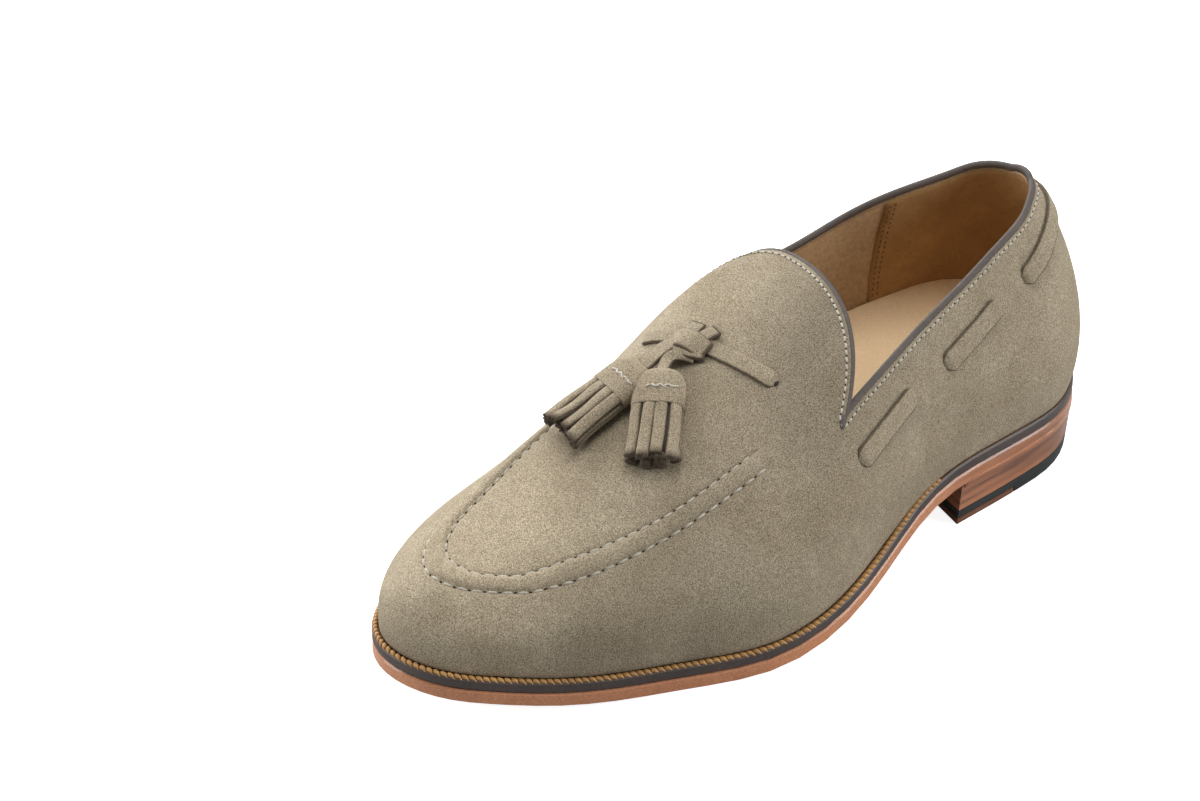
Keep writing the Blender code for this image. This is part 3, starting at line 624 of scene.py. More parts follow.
grain_group, grain_in, grain_out = group_with("leather_grain", "Grain")
spot = add(grain_group, "TexCoord").outputs["Object"]
cloudy = noise(grain_group, spot, 45.0, 4.0, 0.6)
fine = noise(grain_group, spot, grain_in.outputs["Grain"], 3.0, 0.6)
tone = tones(grain_group, cloudy, 0.3, 0.7, grain_in.outputs["Dark"], grain_in.outputs["Light"])
uneven = tones(grain_group, fine, 0.35, 0.65, grey(0.82), grey(1.12))
tone = mix(grain_group, 1.0, tone, uneven, "MULTIPLY")
grain_group.links.new(tone, grain_out.inputs["Color"])
grain_group.links.new(fine, grain_out.inputs["Height"])

pale_thread = leather_of("pale_thread", (0.60, 0.565, 0.48, 1), (0.47, 0.435, 0.36, 1), 0.7, 1500.0)
# painted shade: the dark beads in needle holes and a slot's mouth stand for the shade inside them
painted_hole_shade = leather_of("painted_hole_shade", (0.030, 0.022, 0.016, 1), (0.018, 0.013, 0.009, 1), 0.9)


def add_bead(made, centre, across, up, along_it, kind=0):
    """Small oval body, given by its middle and three half axes."""
    turn = Matrix(np.stack([across, up, along_it], 1).tolist()).to_4x4()
    verts = bmesh.ops.create_uvsphere(
        made, u_segments=10, v_segments=6, radius=MM,
        matrix=Matrix.Translation(Vector(centre) * MM) @ turn)["verts"]
    for face in {face for vert in verts for face in vert.link_faces}:
        face.material_index = kind


def oval(wide, high, count=12, squareness=1.0):
    """Points of an oval, squarer below 1."""
    turns = np.linspace(0, 2 * math.pi, count, endpoint=False)
    return np.array([(math.copysign(abs(math.cos(a)) ** squareness, math.cos(a)) * wide,
                      math.copysign(abs(math.sin(a)) ** squareness, math.sin(a)) * high)
                     for a in turns])


def sweep(made, line, wide, high, profile, size=1.0, closed=False, shade=None, kind=0):
    """Body along a line: a profile of (wide, high) points at each place, closed at its ends."""
    count, around = len(line), len(profile)
    size = np.ones((count, 2)) * size
    wide, high = np.broadcast_to(wide, line.shape), np.broadcast_to(high, line.shape)

    def point(row, turn):
        i = row % count if closed else np.clip(row, 0, count - 1)
        spread = profile[turn % around] * size[i]
        spread = spread if closed else spread * (row == i)[:, None]
        return line[i] + wide[i] * spread[:, :1] + high[i] * spread[:, 1:]
    rows = np.arange(count + 1) if closed else np.arange(-1, count + 1)
    add_grid(made, rows, np.arange(around + 1), point, shade, kind)


# one stitch and the hole beside it: place (of its length), thickness and height (of full)
STITCH_SHAPE = np.array([
    (-0.56, 0.25, -1.2), (-0.47, 0.70, -0.2), (-0.25, 1.0, 0.8), (0.0, 1.0, 1.0),
    (0.25, 1.0, 0.8), (0.47, 0.70, -0.2), (0.56, 0.25, -1.2)])
HOLE_SHAPE = np.array([
    (-0.60, 0.05, -2.0), (-0.50, 0.30, 0.0), (-0.30, 0.9, 0.0), (0.30, 0.9, 0.0),
    (0.50, 0.30, 0.0), (0.60, 0.05, -2.0)])


def sew(made, line, normals, pitch, stitch, hole=None, slant=0.0, lift=0.1, hole_lift=0.0):
    """Stitches along a line on a surface, with their needle holes."""
    normals, run = np.broadcast_to(normals, line.shape), run_of(line)
    count = max(1, int(run[-1] / pitch))

    def at(lengths, values):
        return np.stack([np.interp(lengths, run, values[:, axis]) for axis in range(3)], -1)

    def thread(middles, shape, size, lean, lift, kind):
        length, wide, high = size
        reach_out = shape[:, 0] * length + np.zeros((len(middles), 1))
        lengths = (middles[:, None] + reach_out).ravel()
        up = unit(at(lengths, normals))
        ahead = unit(at(lengths + 0.5, line) - at(lengths - 0.5, line))
        across = unit(np.cross(ahead, up))
        aside = (reach_out * lean[:, None]).ravel()[:, None]
        rise = np.tile(lift + shape[:, 2] * high / 2, len(middles))[:, None]
        sweep(made, at(lengths, line) + across * aside + up * rise, across, up,
              oval(wide / 2, high / 2, 8), np.tile(shape[:, 1], len(middles))[:, None], kind=kind)
    step = run[-1] / count
    lean = math.tan(math.radians(slant)) + rng.normal(0.0, UNEVEN_LEAN, count)
    thread((np.arange(count) + 0.5) * step, STITCH_SHAPE, stitch, lean, lift - stitch[2] / 2, 0)
    if hole:
        thread(np.arange(1, count) * step, HOLE_SHAPE, hole, np.zeros(count - 1), hole_lift, 1)


apron_thread = new_mesh()
for edge, start, pitch, stitch in ((apron_outer, APRON_START, APRON_PITCH, APRON_STITCH),
                                   (apron_inner, INNER_START, INNER_PITCH, INNER_STITCH)):
    row_side, row_share = there_and_back(shares_past(start, (1, 300)),
                                         shares_past(APRON_END[-1], (1, 300))[-2::-1])
    place = row_side, row_share, 1 + edge(row_side, row_share)
    sew(apron_thread, skin(*place), last_normal(*place), pitch, stitch, NEEDLE_HOLE,
        lift=APRON_LIFT, hole_lift=HOLE_LIFT)
finish_mesh("apron_stitches", apron_thread, [pale_thread, painted_hole_shade])

# Lining: smooth tan calf in the quarters and vamp, and a brown suede piece round the heel that
# grips the sock, both glued inside the upper and sewn along an upright seam on either side.
LINING_LIFT, LINING_THICK, LINING_FINE, LINING_ROWS = -1.2, 0.75, 0.45, (22, 26)
COUNTER_LIFT, COUNTER_THICK, COUNTER_TOP = -1.85, 0.7, 0.985
SEAM_SHARE, SEAM_ROWS, SEAM_RISES = 0.197, (0.006, 0.013), (0.30, 0.96)
SEAM_PITCH, SEAM_STITCH = 2.4, (1.5, 0.55, 0.4)
tan_lining = leather_of("tan_lining", (0.51, 0.345, 0.195, 1), (0.43, 0.28, 0.155, 1), 0.5)
counter_suede = suede("counter_suede", (0.47, 0.275, 0.115, 1), (0.37, 0.21, 0.080, 1),
                      (0.30, 0.17, 0.08, 1), 0.0004, 0.3)
finish_mesh("lining", upper_sheet(LINING_LIFT, LINING_FINE, *LINING_ROWS), [tan_lining],
            LINING_THICK)
counter_mesh = new_mesh()
for side in (1, -1):
    add_grid(counter_mesh, shares_past(0, (SEAM_SHARE, 30)), np.linspace(0, COUNTER_TOP, 23),
             lambda s, r, side=side: skin(side, s, r, COUNTER_LIFT))
finish_mesh("heel_grip", counter_mesh, [counter_suede], COUNTER_THICK)
tan_thread = leather_of("tan_thread", (0.22, 0.12, 0.055, 1), (0.14, 0.07, 0.03, 1), 0.7, 1500.0)
seam_mesh = new_mesh()
for side in (1, -1):
    for behind in SEAM_ROWS:
        place = side, SEAM_SHARE - behind, np.linspace(*SEAM_RISES, 60)
        sew(seam_mesh, skin(*place, COUNTER_LIFT - COUNTER_THICK), -last_normal(*place),
            SEAM_PITCH, SEAM_STITCH)
finish_mesh("heel_grip_stitches", seam_mesh, [tan_thread])

# Insole: a bare cover of pale calf glued over a foam heel pad, cupped up where it meets the
# lining, so it is cut to the lining's inside at its own height.
INSOLE_HIGH, PAD_HIGH, PAD_START, PAD_END = 13.2, 10.0, 0.28, 0.62
INSOLE_CUP, TOE_CUP, INSOLE_THICK = 4.0, 1.0, 1.8
CUP_START, CUP_FULL, INSOLE_CLEAR = 0.03, 0.13, 0.3
insole_leather = leather_of("insole_leather", (0.97, 0.735, 0.455, 1), (0.94, 0.70, 0.42, 1),
                            0.42, 3500.0, 0.00008)


def insole_height(share, off_centre):
    """Height of the insole's face: off_centre runs from -1 at one edge to 1 at the other."""
    pad = 1 - ease(share, PAD_START, PAD_END)
    deep = (INSOLE_CUP - TOE_CUP) * pad * ease(share, CUP_START, CUP_FULL)
    cup = (TOE_CUP + deep) * np.abs(off_centre) ** 3
    return under(share) + INSOLE_HIGH + PAD_HIGH * pad + cup


def lining_at(side, share, height):
    """Point of the lining's face at a height."""
    low, high = np.zeros(np.shape(share)), np.ones(np.shape(share))
    for _ in range(18):
        middle = (low + high) / 2
        above = skin(side, share, middle, COUNTER_LIFT)[..., 2] > height
        low, high = np.where(above, low, middle), np.where(above, middle, high)
    return skin(side, share, low, COUNTER_LIFT - INSOLE_CLEAR)


insole_shares = shares_past(0, (HEEL_CENTRE, 16), (TOE_CENTRE, 56), (1, 16))
insole_edges = [lining_at(side, insole_shares, insole_height(insole_shares, 1.0))
                for side in (1, -1)]


def insole_point(row, off_centre):
    blend = (off_centre[:, None] + 1) / 2
    point = insole_edges[0][row] * blend + insole_edges[1][row] * (1 - blend)
    point[:, 2] = insole_height(insole_shares[row], off_centre)
    return point


insole_mesh = new_mesh()
add_grid(insole_mesh, np.arange(len(insole_shares)),
         np.sin(np.linspace(-1, 1, 31) * math.pi / 2), insole_point)
insole = finish_mesh("insole_cover", insole_mesh, [insole_leather],
                     INSOLE_THICK)
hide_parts("insole")

# Collar binding: a strip of grey-brown leather rolled over the top line and the tongue's edge,
# sewn down through the suede by a row of small pale stitches, its raw tan edge left inside.
BINDING_HALF, BINDING_UP, BINDING_DROP = (1.2, 1.45), 0.55, 1.65
BINDING_PITCH, BINDING_STITCH, BINDING_HOLE = 2.6, (1.95, 0.8, 0.6), (0.65, 0.65, 0.4)
# folded corner at the tongue's foot: half size along the rim, out and up, and its place out and up
CORNER_HALF, CORNER_PLACE = (1.7, 1.1, 3.0), (0.6, 0.2)
# raw edge: half size out and up, and its place inward and down
RAW_HALF, RAW_PLACE = (0.55, 0.7), (0.85, 1.15)
binding_leather = leather_of("binding_leather", (0.092, 0.074, 0.064, 1),
                             (0.062, 0.048, 0.041, 1), 0.7, 900.0)
raw_edge = leather_of("raw_edge", (0.40, 0.26, 0.14, 1), (0.28, 0.17, 0.085, 1), 0.8, 1200.0)
# places all round the top line and the tongue's edge, from the back of the heel
rim_half = [(1, share, 1.0) for share in shares_past(0, (HEEL_CENTRE, 24), (CORNER, 80))[:-1]]
rim_half += [(1, CORNER, 1 + t) for t in np.linspace(0, 1, 91)]
rim_places = np.array(rim_half + [(-1, share, rise) for _, share, rise in rim_half[-2:0:-1]], float)
rim_normal = last_normal(*rim_places.T)
rim_line = skin(*rim_places.T, -SUEDE_THICK)
rim_up = -np.cross(rim_normal, unit(np.roll(rim_line, -1, 0) - np.roll(rim_line, 1, 0)))
for _ in range(3):
    rim_up = unit(np.roll(rim_up, 1, 0) + rim_up + np.roll(rim_up, -1, 0))
binding_mesh = new_mesh()
sweep(binding_mesh, rim_line + rim_up * BINDING_UP, rim_normal, rim_up, oval(*BINDING_HALF),
      closed=True)
for corner in np.flatnonzero((rim_places[:, 1] == CORNER) & (rim_places[:, 2] == 1.0)):
    out, up = rim_normal[corner], rim_up[corner]
    add_bead(binding_mesh, rim_line[corner] + up * CORNER_PLACE[1] + out * CORNER_PLACE[0],
             np.cross(up, out) * CORNER_HALF[0], out * CORNER_HALF[1], up * CORNER_HALF[2])
binding = finish_mesh("collar_roll", binding_mesh, [binding_leather])
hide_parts("collar_binding")
raw_mesh = new_mesh()
sweep(raw_mesh, rim_line - rim_normal * RAW_PLACE[0] - rim_up * RAW_PLACE[1], rim_normal, rim_up,
      oval(*RAW_HALF, 8), closed=True)
finish_mesh("binding_raw_edge", raw_mesh, [raw_edge])
binding_thread = new_mesh()
sew(binding_thread, skin(*rim_places.T) - rim_up * BINDING_DROP, rim_normal, BINDING_PITCH,
    BINDING_STITCH, BINDING_HOLE)
finish_mesh("binding_stitches", binding_thread, [pale_thread, painted_hole_shade])

# Welt: a dark strip sewn to the upper's foot by a rope of waxed golden thread that shows all
# round the forepart, from waist to waist.
WELT_TOP, ROPE_INSET, ROPE_START, ROPE_LIFT, ROPE_SLANT = 9.9, 1.2, 0.30, 0.25, 16.0
ROPE_PITCH, ROPE_STITCH, ROPE_HOLE = 2.4, (3.1, 1.75, 1.5), (0.8, 1.7, 0.8)
# distance at which a CAD mesh's points merge, and the angles (degrees) up to which its faces
# merge, over which an edge is bevelled and under which it is shaded round
POINT_GAP, FLAT, SHARP, ROUND = 0.01, 0.3, 40, 35
FACING_UP = 0.8
welt_edge = leather_of("welt_edge", (0.070, 0.052, 0.046, 1), (0.045, 0.033, 0.029, 1), 0.45, 900.0)
welt_top = leather_of("welt_top", (0.17, 0.085, 0.03, 1), (0.10, 0.048, 0.016, 1), 0.6, 900.0)
golden_thread = leather_of("golden_thread", (0.50, 0.27, 0.085, 1), (0.33, 0.165, 0.05, 1), 0.5,
                           1600.0)


def dressed(name, node, materials, bevel=0.0, raise_top=0.0):
    """Copy of a CAD node's mesh, merged, with softened edges and its top raised to its seam."""
    made = bmesh.new()
    made.from_mesh(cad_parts[node].data)
    bmesh.ops.remove_doubles(made, verts=made.verts, dist=POINT_GAP * MM)
    bmesh.ops.dissolve_limit(made, angle_limit=math.radians(FLAT), verts=made.verts,
                             edges=made.edges)
    if raise_top:
        level = (min(v.co.z for v in made.verts) + max(v.co.z for v in made.verts)) / 2
        bmesh.ops.translate(made, vec=(0, 0, raise_top * MM),
                            verts=[v for v in made.verts if v.co.z > level])
    if bevel:
        sharp = [e for e in made.edges if len(e.link_faces) == 2
                 and e.calc_face_angle() > math.radians(SHARP)]
        bmesh.ops.bevel(made, geom=sharp, offset=bevel * MM, segments=2, profile=0.5,
                        affect="EDGES", material=-1)
    for edge in made.edges:
        edge.smooth = (len(edge.link_faces) == 2
                       and edge.calc_face_angle() < math.radians(ROUND))
    piece = finish_mesh(name, made, materials)
    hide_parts(node)
    return piece


def sole_line(side, share, inset, height):
    """Line at a height, this far inside the sole's outline."""
    line = outline(side, share, np.full(len(share), inset)) + AXIS
    line[:, 2] = height
    return line


welt = dressed("welt_strip", "welt", [welt_edge, welt_top])
for face in welt.data.polygons:
    face.material_index = int(face.normal.z > FACING_UP)
half = shares_past(ROPE_START, (1, 300))
rope_side, rope_share = there_and_back(half, half[-2::-1])
rope_mesh = new_mesh()
sew(rope_mesh, sole_line(rope_side, rope_share, ROPE_INSET, under(rope_share) + WELT_TOP), UP,
    ROPE_PITCH, ROPE_STITCH, ROPE_HOLE, ROPE_SLANT, ROPE_LIFT)
finish_mesh("welt_rope", rope_mesh, [golden_thread, painted_hole_shade])

# Outsole and heel: a reddish leather sole, stacked leather lifts polished with wax so that the
# layers show as streaks, and a rubber bottom with a leather piece let in at the front.
HEEL_STREAK_END, HEEL_STREAK_START = (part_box("heel_stack")[0].y + v for v in (-0.012, 0.004))
STREAK_TILT, STREAK_SCALE = 0.035, (14, 14, 330)
# how far the lifts reach up to close the seam under the sole, the rounding of the bottom layer's
# edges, and the burnished seam: distance inside the outline, height over it, half size
LIFTS_UP, HEEL_BEVEL = 0.29, 0.25
BURNISH_INSET, BURNISH_UP, BURNISH_HALF, BURNISH_STOP = 0.35, 0.1, (0.45, 1.3), 0.004


def sole_leather_of(name, light, dark, everywhere=False):
    """Sole leather that turns into the waxed, streaky finish at the heel, or has it all over."""
    material = leather_of(name, light, dark, 0.42, 1100.0)
    tree, shader = nodes_of(material)
    spot = add(tree, "TexCoord").outputs["Object"]
    layers = add(tree, "Mapping", (("Vector", spot), ("Rotation", (STREAK_TILT, 0, 0)),
                                   ("Scale", STREAK_SCALE)))
    lines = noise(tree, layers.outputs[0], 1.0, 5.0, 0.6, 0.4)
    dusky = noise(tree, spot, 40.0, 2.0, 0.5)
    waxed = tones(tree, lines, 0.42, 0.66, *WAXED)
    soiled = mix(tree, 1.0, waxed, grey(0.7), "MULTIPLY")
    waxed = tones(tree, dusky, 0.30, 0.60, soiled, waxed)
    shader.inputs["Coat Weight"].default_value = 0.35
    shader.inputs["Coat Roughness"].default_value = 0.15
    where = bands(tree, add(tree, "SeparateXYZ", ((0, spot),)).outputs["Y"], HEEL_STREAK_END,
                  HEEL_STREAK_START)
    plain = shader.inputs["Base Color"].links[0].from_socket
    tone = waxed if everywhere else mix(tree, where, plain, waxed)
    tree.links.new(tone, shader.inputs["Base Color"])
    rough_from = shader.inputs["Roughness"].links[0].from_socket
    gloss = add(tree, "MapRange", (("Value", lines), ("To Min", 0.22), ("To Max", 0.34)))
    rough = gloss.outputs[0] if everywhere else mix(tree, where, rough_from, gloss.outputs[0])
    tree.links.new(rough, shader.inputs["Roughness"])
    return material


WAXED = ((0.48, 0.19, 0.085, 1), (0.15, 0.055, 0.028, 1))
outsole_leather = sole_leather_of("outsole_leather", (0.62, 0.265, 0.125, 1),
                                  (0.51, 0.205, 0.093, 1))
heel_leather = sole_leather_of("heel_leather", (0.34, 0.125, 0.06, 1), (0.2, 0.07, 0.03, 1), True)
front_leather = leather_of("front_piece_leather", (0.21, 0.088, 0.045, 1),
                           (0.14, 0.056, 0.03, 1), 0.45, 1000.0)
black_rubber = leather_of("black_rubber", (0.022, 0.030, 0.028, 1), (0.014, 0.02, 0.019, 1), 0.4)
dressed("outsole_piece", "outsole", [outsole_leather])
dressed("heel_lifts", "heel_stack", [heel_leather], raise_top=LIFTS_UP)
half = shares_past(0, (BREAST - BURNISH_STOP, 60))
band_line = sole_line(*there_and_back(half[::-1], half[1:]), BURNISH_INSET, HEEL_RISE + BURNISH_UP)
band_out = np.cross(unit(np.gradient(band_line, axis=0)), UP)
band_mesh = new_mesh()
sweep(band_mesh, band_line, band_out, UP, oval(*BURNISH_HALF, 12, 0.8))
finish_mesh("burnished_seam", band_mesh, [heel_leather])
dressed("heel_rubber_piece", "heel_rubber", [black_rubber], HEEL_BEVEL)
dressed("heel_front_piece", "heel_top_piece", [front_leather], HEEL_BEVEL)

# Lace: a flat strip of the same suede that comes out of the upper, lies on it and goes back in at
# a slot, round both quarters and the heel and across the vamp, its cut edges darker and a painted
# shadow along its lower edge.
STRAP_THICK, STRAP_SEAT, STRAP_SUNK = 1.6, 0.6, -0.5
SIDE_WIDTH, VAMP_WIDTH, UNEVEN_WIDTH = 8.3, 6.2, 0.02
# lengths over which it comes out of the suede, goes back in at the slot, and rounds off
COME_OUT, GO_IN, ROUND_OFF = 2.4, 1.4, 2.6
# its lower and upper cut edge, darker also as painted shade in the crease beside the strap, the
# lower
# one wider as painted shadow: from where on they show (of the half width), and tone
LOWER_SHADOW_FROM, LOWER_EDGE_SHADOW_TONE, UPPER_FROM, UPPER_EDGE_SHADE_TONE = 0.88, 0.75, 0.93, 0.7
# the slot's mouth, a dark bead of painted shade: half width, height and length, and its place up
# and back from the end
SLOT_HALF, SLOT_UP, SLOT_BACK = (1.15, 0.4, 0.7), 0.25, 0.9
# places along each stretch: across the shoe (2 lateral foot, 0 ridge, -2 medial foot) and share
FRONT_STRAP = np.array([(1.28, 0.452), (1.28, 0.400), (1.27, 0.340)])
REAR_STRAP = np.array([(1.30, 0.284), (1.27, 0.235), (1.235, 0.186)])
STRAPS = {
    "side_strap_lateral_front": FRONT_STRAP, "side_strap_lateral_rear": REAR_STRAP,
    "side_strap_medial_front": FRONT_STRAP * (-1, 1),
    "side_strap_medial_rear": REAR_STRAP * (-1, 1),
    "back_strap": [(1.23, 0.137), (1.155, 0.03), (1.14, 0.0), (1.155, -0.03), (1.23, -0.137)],
    "vamp_strap": [(0.42, 0.556), (0.22, 0.573), (0.0, 0.587), (-0.2, 0.594), (-0.5, 0.597)],
}
lace_suede = suede("lace_suede", (0.368, 0.309, 0.226, 1), (0.305, 0.251, 0.177, 1), TAUPE_EDGE_AND_SHADE)


def skin_over(over, share):
    """Point and normal at a place across the shoe."""
    place = np.copysign(1.0, over), share, 2 - np.abs(over)
    return skin(*place), last_normal(*place)


def path_on(rows, count):
    """Places evenly along a short list of them, the back of the heel rounded by root shares."""
    root = [(i, over, math.copysign(math.sqrt(abs(share)), share))
            for i, (over, share) in enumerate(rows)]
    t = np.linspace(0, len(rows) - 1, count + 1)
    over, place = spline(root, 1)(t), spline(root, 2)(t)
    return over, place * np.abs(place)


for name, rows in STRAPS.items():
    steps = 18 * (len(rows) - 1)
    points, normals = skin_over(*path_on(rows, steps))
    ahead = unit(np.gradient(points, axis=0))
    wide = unit(np.cross(normals, ahead))
    run = run_of(points)
    left = run[-1] - run
    close = np.minimum(run, left)
    out = np.maximum(ease(close, 0.0, COME_OUT), ease(left, 0.0, GO_IN) * (run > close))[:, None]
    narrow = np.sqrt(np.clip(1 - (1 - np.clip(close / ROUND_OFF, 0, 1)) ** 2, 0.2, 1))
    narrow = narrow * rng.normal(1.0, UNEVEN_WIDTH, len(narrow))
    over_vamp = name == "vamp_strap"
    width, finish, end, back_from = ((VAMP_WIDTH, lace_suede, 0, 0.0) if over_vamp
                                     else (SIDE_WIDTH, taupe_suede, -1, SLOT_BACK))
    flat_lace = oval(width / 2, STRAP_THICK / 2, 20, 0.45)
    # painted shadow along the lower edge; darker cut edges with painted shade beside the strap on
    # both sides
    lower = 1.0 if over_vamp or "medial" in name else -1.0
    side_place = flat_lace[:, 0] * lower / flat_lace[:, 0].max()
    edge_and_shade_tone = LOWER_EDGE_SHADOW_TONE * (side_place > LOWER_SHADOW_FROM) + UPPER_EDGE_SHADE_TONE * (side_place < -UPPER_FROM)
    strip = new_mesh()
    sweep(strip, points + normals * (STRAP_SUNK + (STRAP_SEAT - STRAP_SUNK) * out), wide, normals,
          flat_lace, np.stack([narrow, np.ones_like(narrow)], 1),
          shade=lambda row, turn: edge_and_shade_tone[turn % len(edge_and_shade_tone)])
    add_bead(strip, points[end] + normals[end] * SLOT_UP - ahead[end] * back_from,
             wide[end] * SLOT_HALF[0], normals[end] * SLOT_HALF[1], ahead[end] * SLOT_HALF[2], 1)
    piece = finish_mesh(name + "_lace", strip, [finish, painted_hole_shade])
    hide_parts(name)

# Knot: the lace's two ends cross over the vamp strap in a flat overhand knot, two short ears of
# it show behind, and the ends run on towards the toe to carry the tassels.
KNOT = (0.03, 0.588)
# bands of the knot: half width, thickness and path as (medial, toeward, up) from its place
KNOT_BANDS = [
    (4.3, 2.8, [(10.4, 4.6, 1.2), (8.4, 3.4, 3.4), (4.6, 2.6, 4.8), (1.0, 2.0, 3.8),
                (-1.8, 1.4, 1.0)]),
    (1.9, 2.2, [(9.0, 6.6, 1.0), (6.4, 7.4, 2.9), (2.6, 7.0, 3.7), (-0.4, 5.2, 3.0),
                (-2.6, 2.8, 1.2)]),
    (3.1, 1.7, [(6.4, 2.0, 3.2), (8.4, -1.6, 2.7), (9.8, -5.4, 1.6)]),
    (2.7, 1.7, [(2.6, 1.4, 3.2), (2.9, -3.0, 2.6), (2.6, -7.6, 1.3)]),
]
# tones of a strip's narrow sides, a cut edge darkened also as painted shade in the slits between
# strips, and of its cut end
SIDE_FROM, SIDE_EDGE_AND_SHADE_TONE, CUT_TONE = 0.93, 0.85, 0.9
knot_at, knot_up = skin_over(*KNOT)
knot_ahead = unit(skin_over(KNOT[0], KNOT[1] + 0.02)[0] - knot_at)
knot_ahead = unit(knot_ahead - knot_up * np.dot(knot_ahead, knot_up))
knot_medial = np.cross(knot_ahead, knot_up)


def through(points, count):
    """Smooth line through a few points."""
    rows = [(i, *point) for i, point in enumerate(points)]
    t = np.linspace(0, len(points) - 1, count)
    return np.stack([spline(rows, axis)(t) for axis in (1, 2, 3)], -1)


def ribbon(made, line, up_start, up_end, half, thick, squareness=0.6, bare_ends=True):
    """Flat strip along a line, its face turning from one direction to the other."""
    t = np.linspace(0, 1, len(line))[:, None]
    ahead = unit(np.gradient(line, axis=0))
    up = unit(up_start * (1 - t) + up_end * t)
    wide = unit(np.cross(ahead, up))
    profile = oval(half, thick / 2, 14, squareness)
    # darker narrow sides: cut edge colour, and painted shade in the slits between strips
    sides = SIDE_EDGE_AND_SHADE_TONE * (np.abs(profile[:, 0]) > SIDE_FROM * profile[:, 0].max())

    def shade(row, turn):
        return np.maximum(sides[turn % len(sides)], CUT_TONE * bare_ends * (row >= len(line) - 2))
    sweep(made, line, wide, np.cross(wide, ahead), profile, shade=shade)


def from_knot(places):
    return [knot_at + knot_medial * x + knot_ahead * y + knot_up * z for x, y, z in places]


knot_mesh = new_mesh()
for band_half, band_thick, path in KNOT_BANDS:
    ribbon(knot_mesh, through(from_knot(path), 22), knot_up, knot_up, band_half, band_thick)
knot = finish_mesh("lace_knot", knot_mesh, [lace_suede])
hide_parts("knot")

# Tassels: each is a strip of suede slit into a fringe, rolled up and bound by a wrapped cap that
# is held by a bar of pale thread. The strips' cut ends show darker and ragged.
TASSELS = {"right": [(0.028, 0.636), (0.378, 0.696)], "left": [(-0.069, 0.643), (-0.123, 0.739)]}
TASSEL_WIDTH, TASSEL_DEPTH, TASSEL_SQUARE = 18.4, 8.6, 0.8
CAP_RISE, END_RISE = 5.6, 4.9
CAP_LENGTH, CAP_EDGE_AND_SHADE_TONE, FRINGE_LENGTH = 15.0, 0.8, 21.0
# place along the cap (mm) and its size (of half width)
CAP_SHAPE = [(0.0, 0.30), (0.2, 0.46), (1.0, 0.64), (2.6, 0.82), (5.0, 0.94), (8.0, 0.99),
             (14.3, 1.0), (14.85, 0.98), (15.0, 0.93)]
# dark core inside the fringe, painted shade that shows through the slits between strips: how much
# less wide and deep, and how much shorter
SHADE_CORE_LESS, SHADE_CORE_SHORTER, SHADE_CORE_IN_CAP = (2.0, 1.6), 2.5, 1.0
# rings of strips: size (of the tassel's), count and how much shorter
FRINGE_RINGS = [(1.0, 8, 0.0), (0.5, 6, 1.0)]
STRIP_HALF, STRIP_DEEP, STRIP_IN_CAP, STRIP_INSET = 2.15, 2.7, 0.6, (0.2, 0.1)
# place along a strip and how far the fringe spreads there
FRINGE_SPREAD = [(0.0, 0.96), (0.25, 1.0), (0.6, 1.03), (1.0, 1.10)]
# how the strips differ in place and length, twist, and stray at their ends, less so in depth
UNEVEN_PLACE, UNEVEN_LENGTH, TWIST = 0.04, (-1.5, 0.8), 0.22
STRAY, STRAY_DEEP, CUT_LENGTH = {"right": 0.3, "left": 0.7}, 0.6, 0.12
# crumbs of suede at a strip's end: count, half sizes, and spread along, across and up
CRUMBS, CRUMB_HALF, CRUMB_SPREAD = 3, (0.25, 0.6), (0.5, 0.9, 0.6)
# bar of thread: half length, waves, place on the cap, place aside, and height over the cap
BAR_HALF, BAR_WAVE, BAR_TURN, BAR_PLACE, BAR_ASIDE, BAR_UP = 5.6, 0.45, 2.0, 8.6, -1.3, 0.15
BAR_PITCH, BAR_STITCH, BAR_SLANT, CAP_ROUND = 2.6, (3.4, 0.65, 0.6), 12.0, 0.62
# each cord: places on the knot, (medial, toeward, up), half width and the tilt of its first face
CORDS = {"right": ([(-0.8, 5.6, 1.6), (2.2, 8.6, 4.0), (3.6, 12.6, 4.6)], 2.1, -1.0),
         "left": ([(8.2, 5.4, 2.4), (9.4, 10.0, 3.4)], 3.5, 0.25)}
CORD_DEEP, CORD_IN_CAP = 1.9, 0.9
# dark tone for the ragged crumbs at the strips' ends, and painted shade for the fringe's core
frayed_and_shade = leather_of("frayed_ends_and_core_shade", (0.12, 0.092, 0.068, 1), (0.045, 0.034, 0.025, 1), 0.9, 1800.0)


def round_oval(wide, high, count):
    """Places evenly round an oval, with the direction that faces out at each."""
    profile = oval(wide, high, 96, TASSEL_SQUARE)
    loop = np.concatenate([profile, profile[:1]])
    run = run_of(loop)
    for i in range(count):
        at = (i + 0.5 + rng.normal(0, UNEVEN_PLACE)) / count * run[-1]
        place, ahead = (np.array([np.interp(at + step, run, loop[:, axis], period=run[-1])
                                  for axis in (0, 1)]) for step in (0.0, 0.5))
        way = ahead - place
        yield place, np.array([way[1], -way[0]])


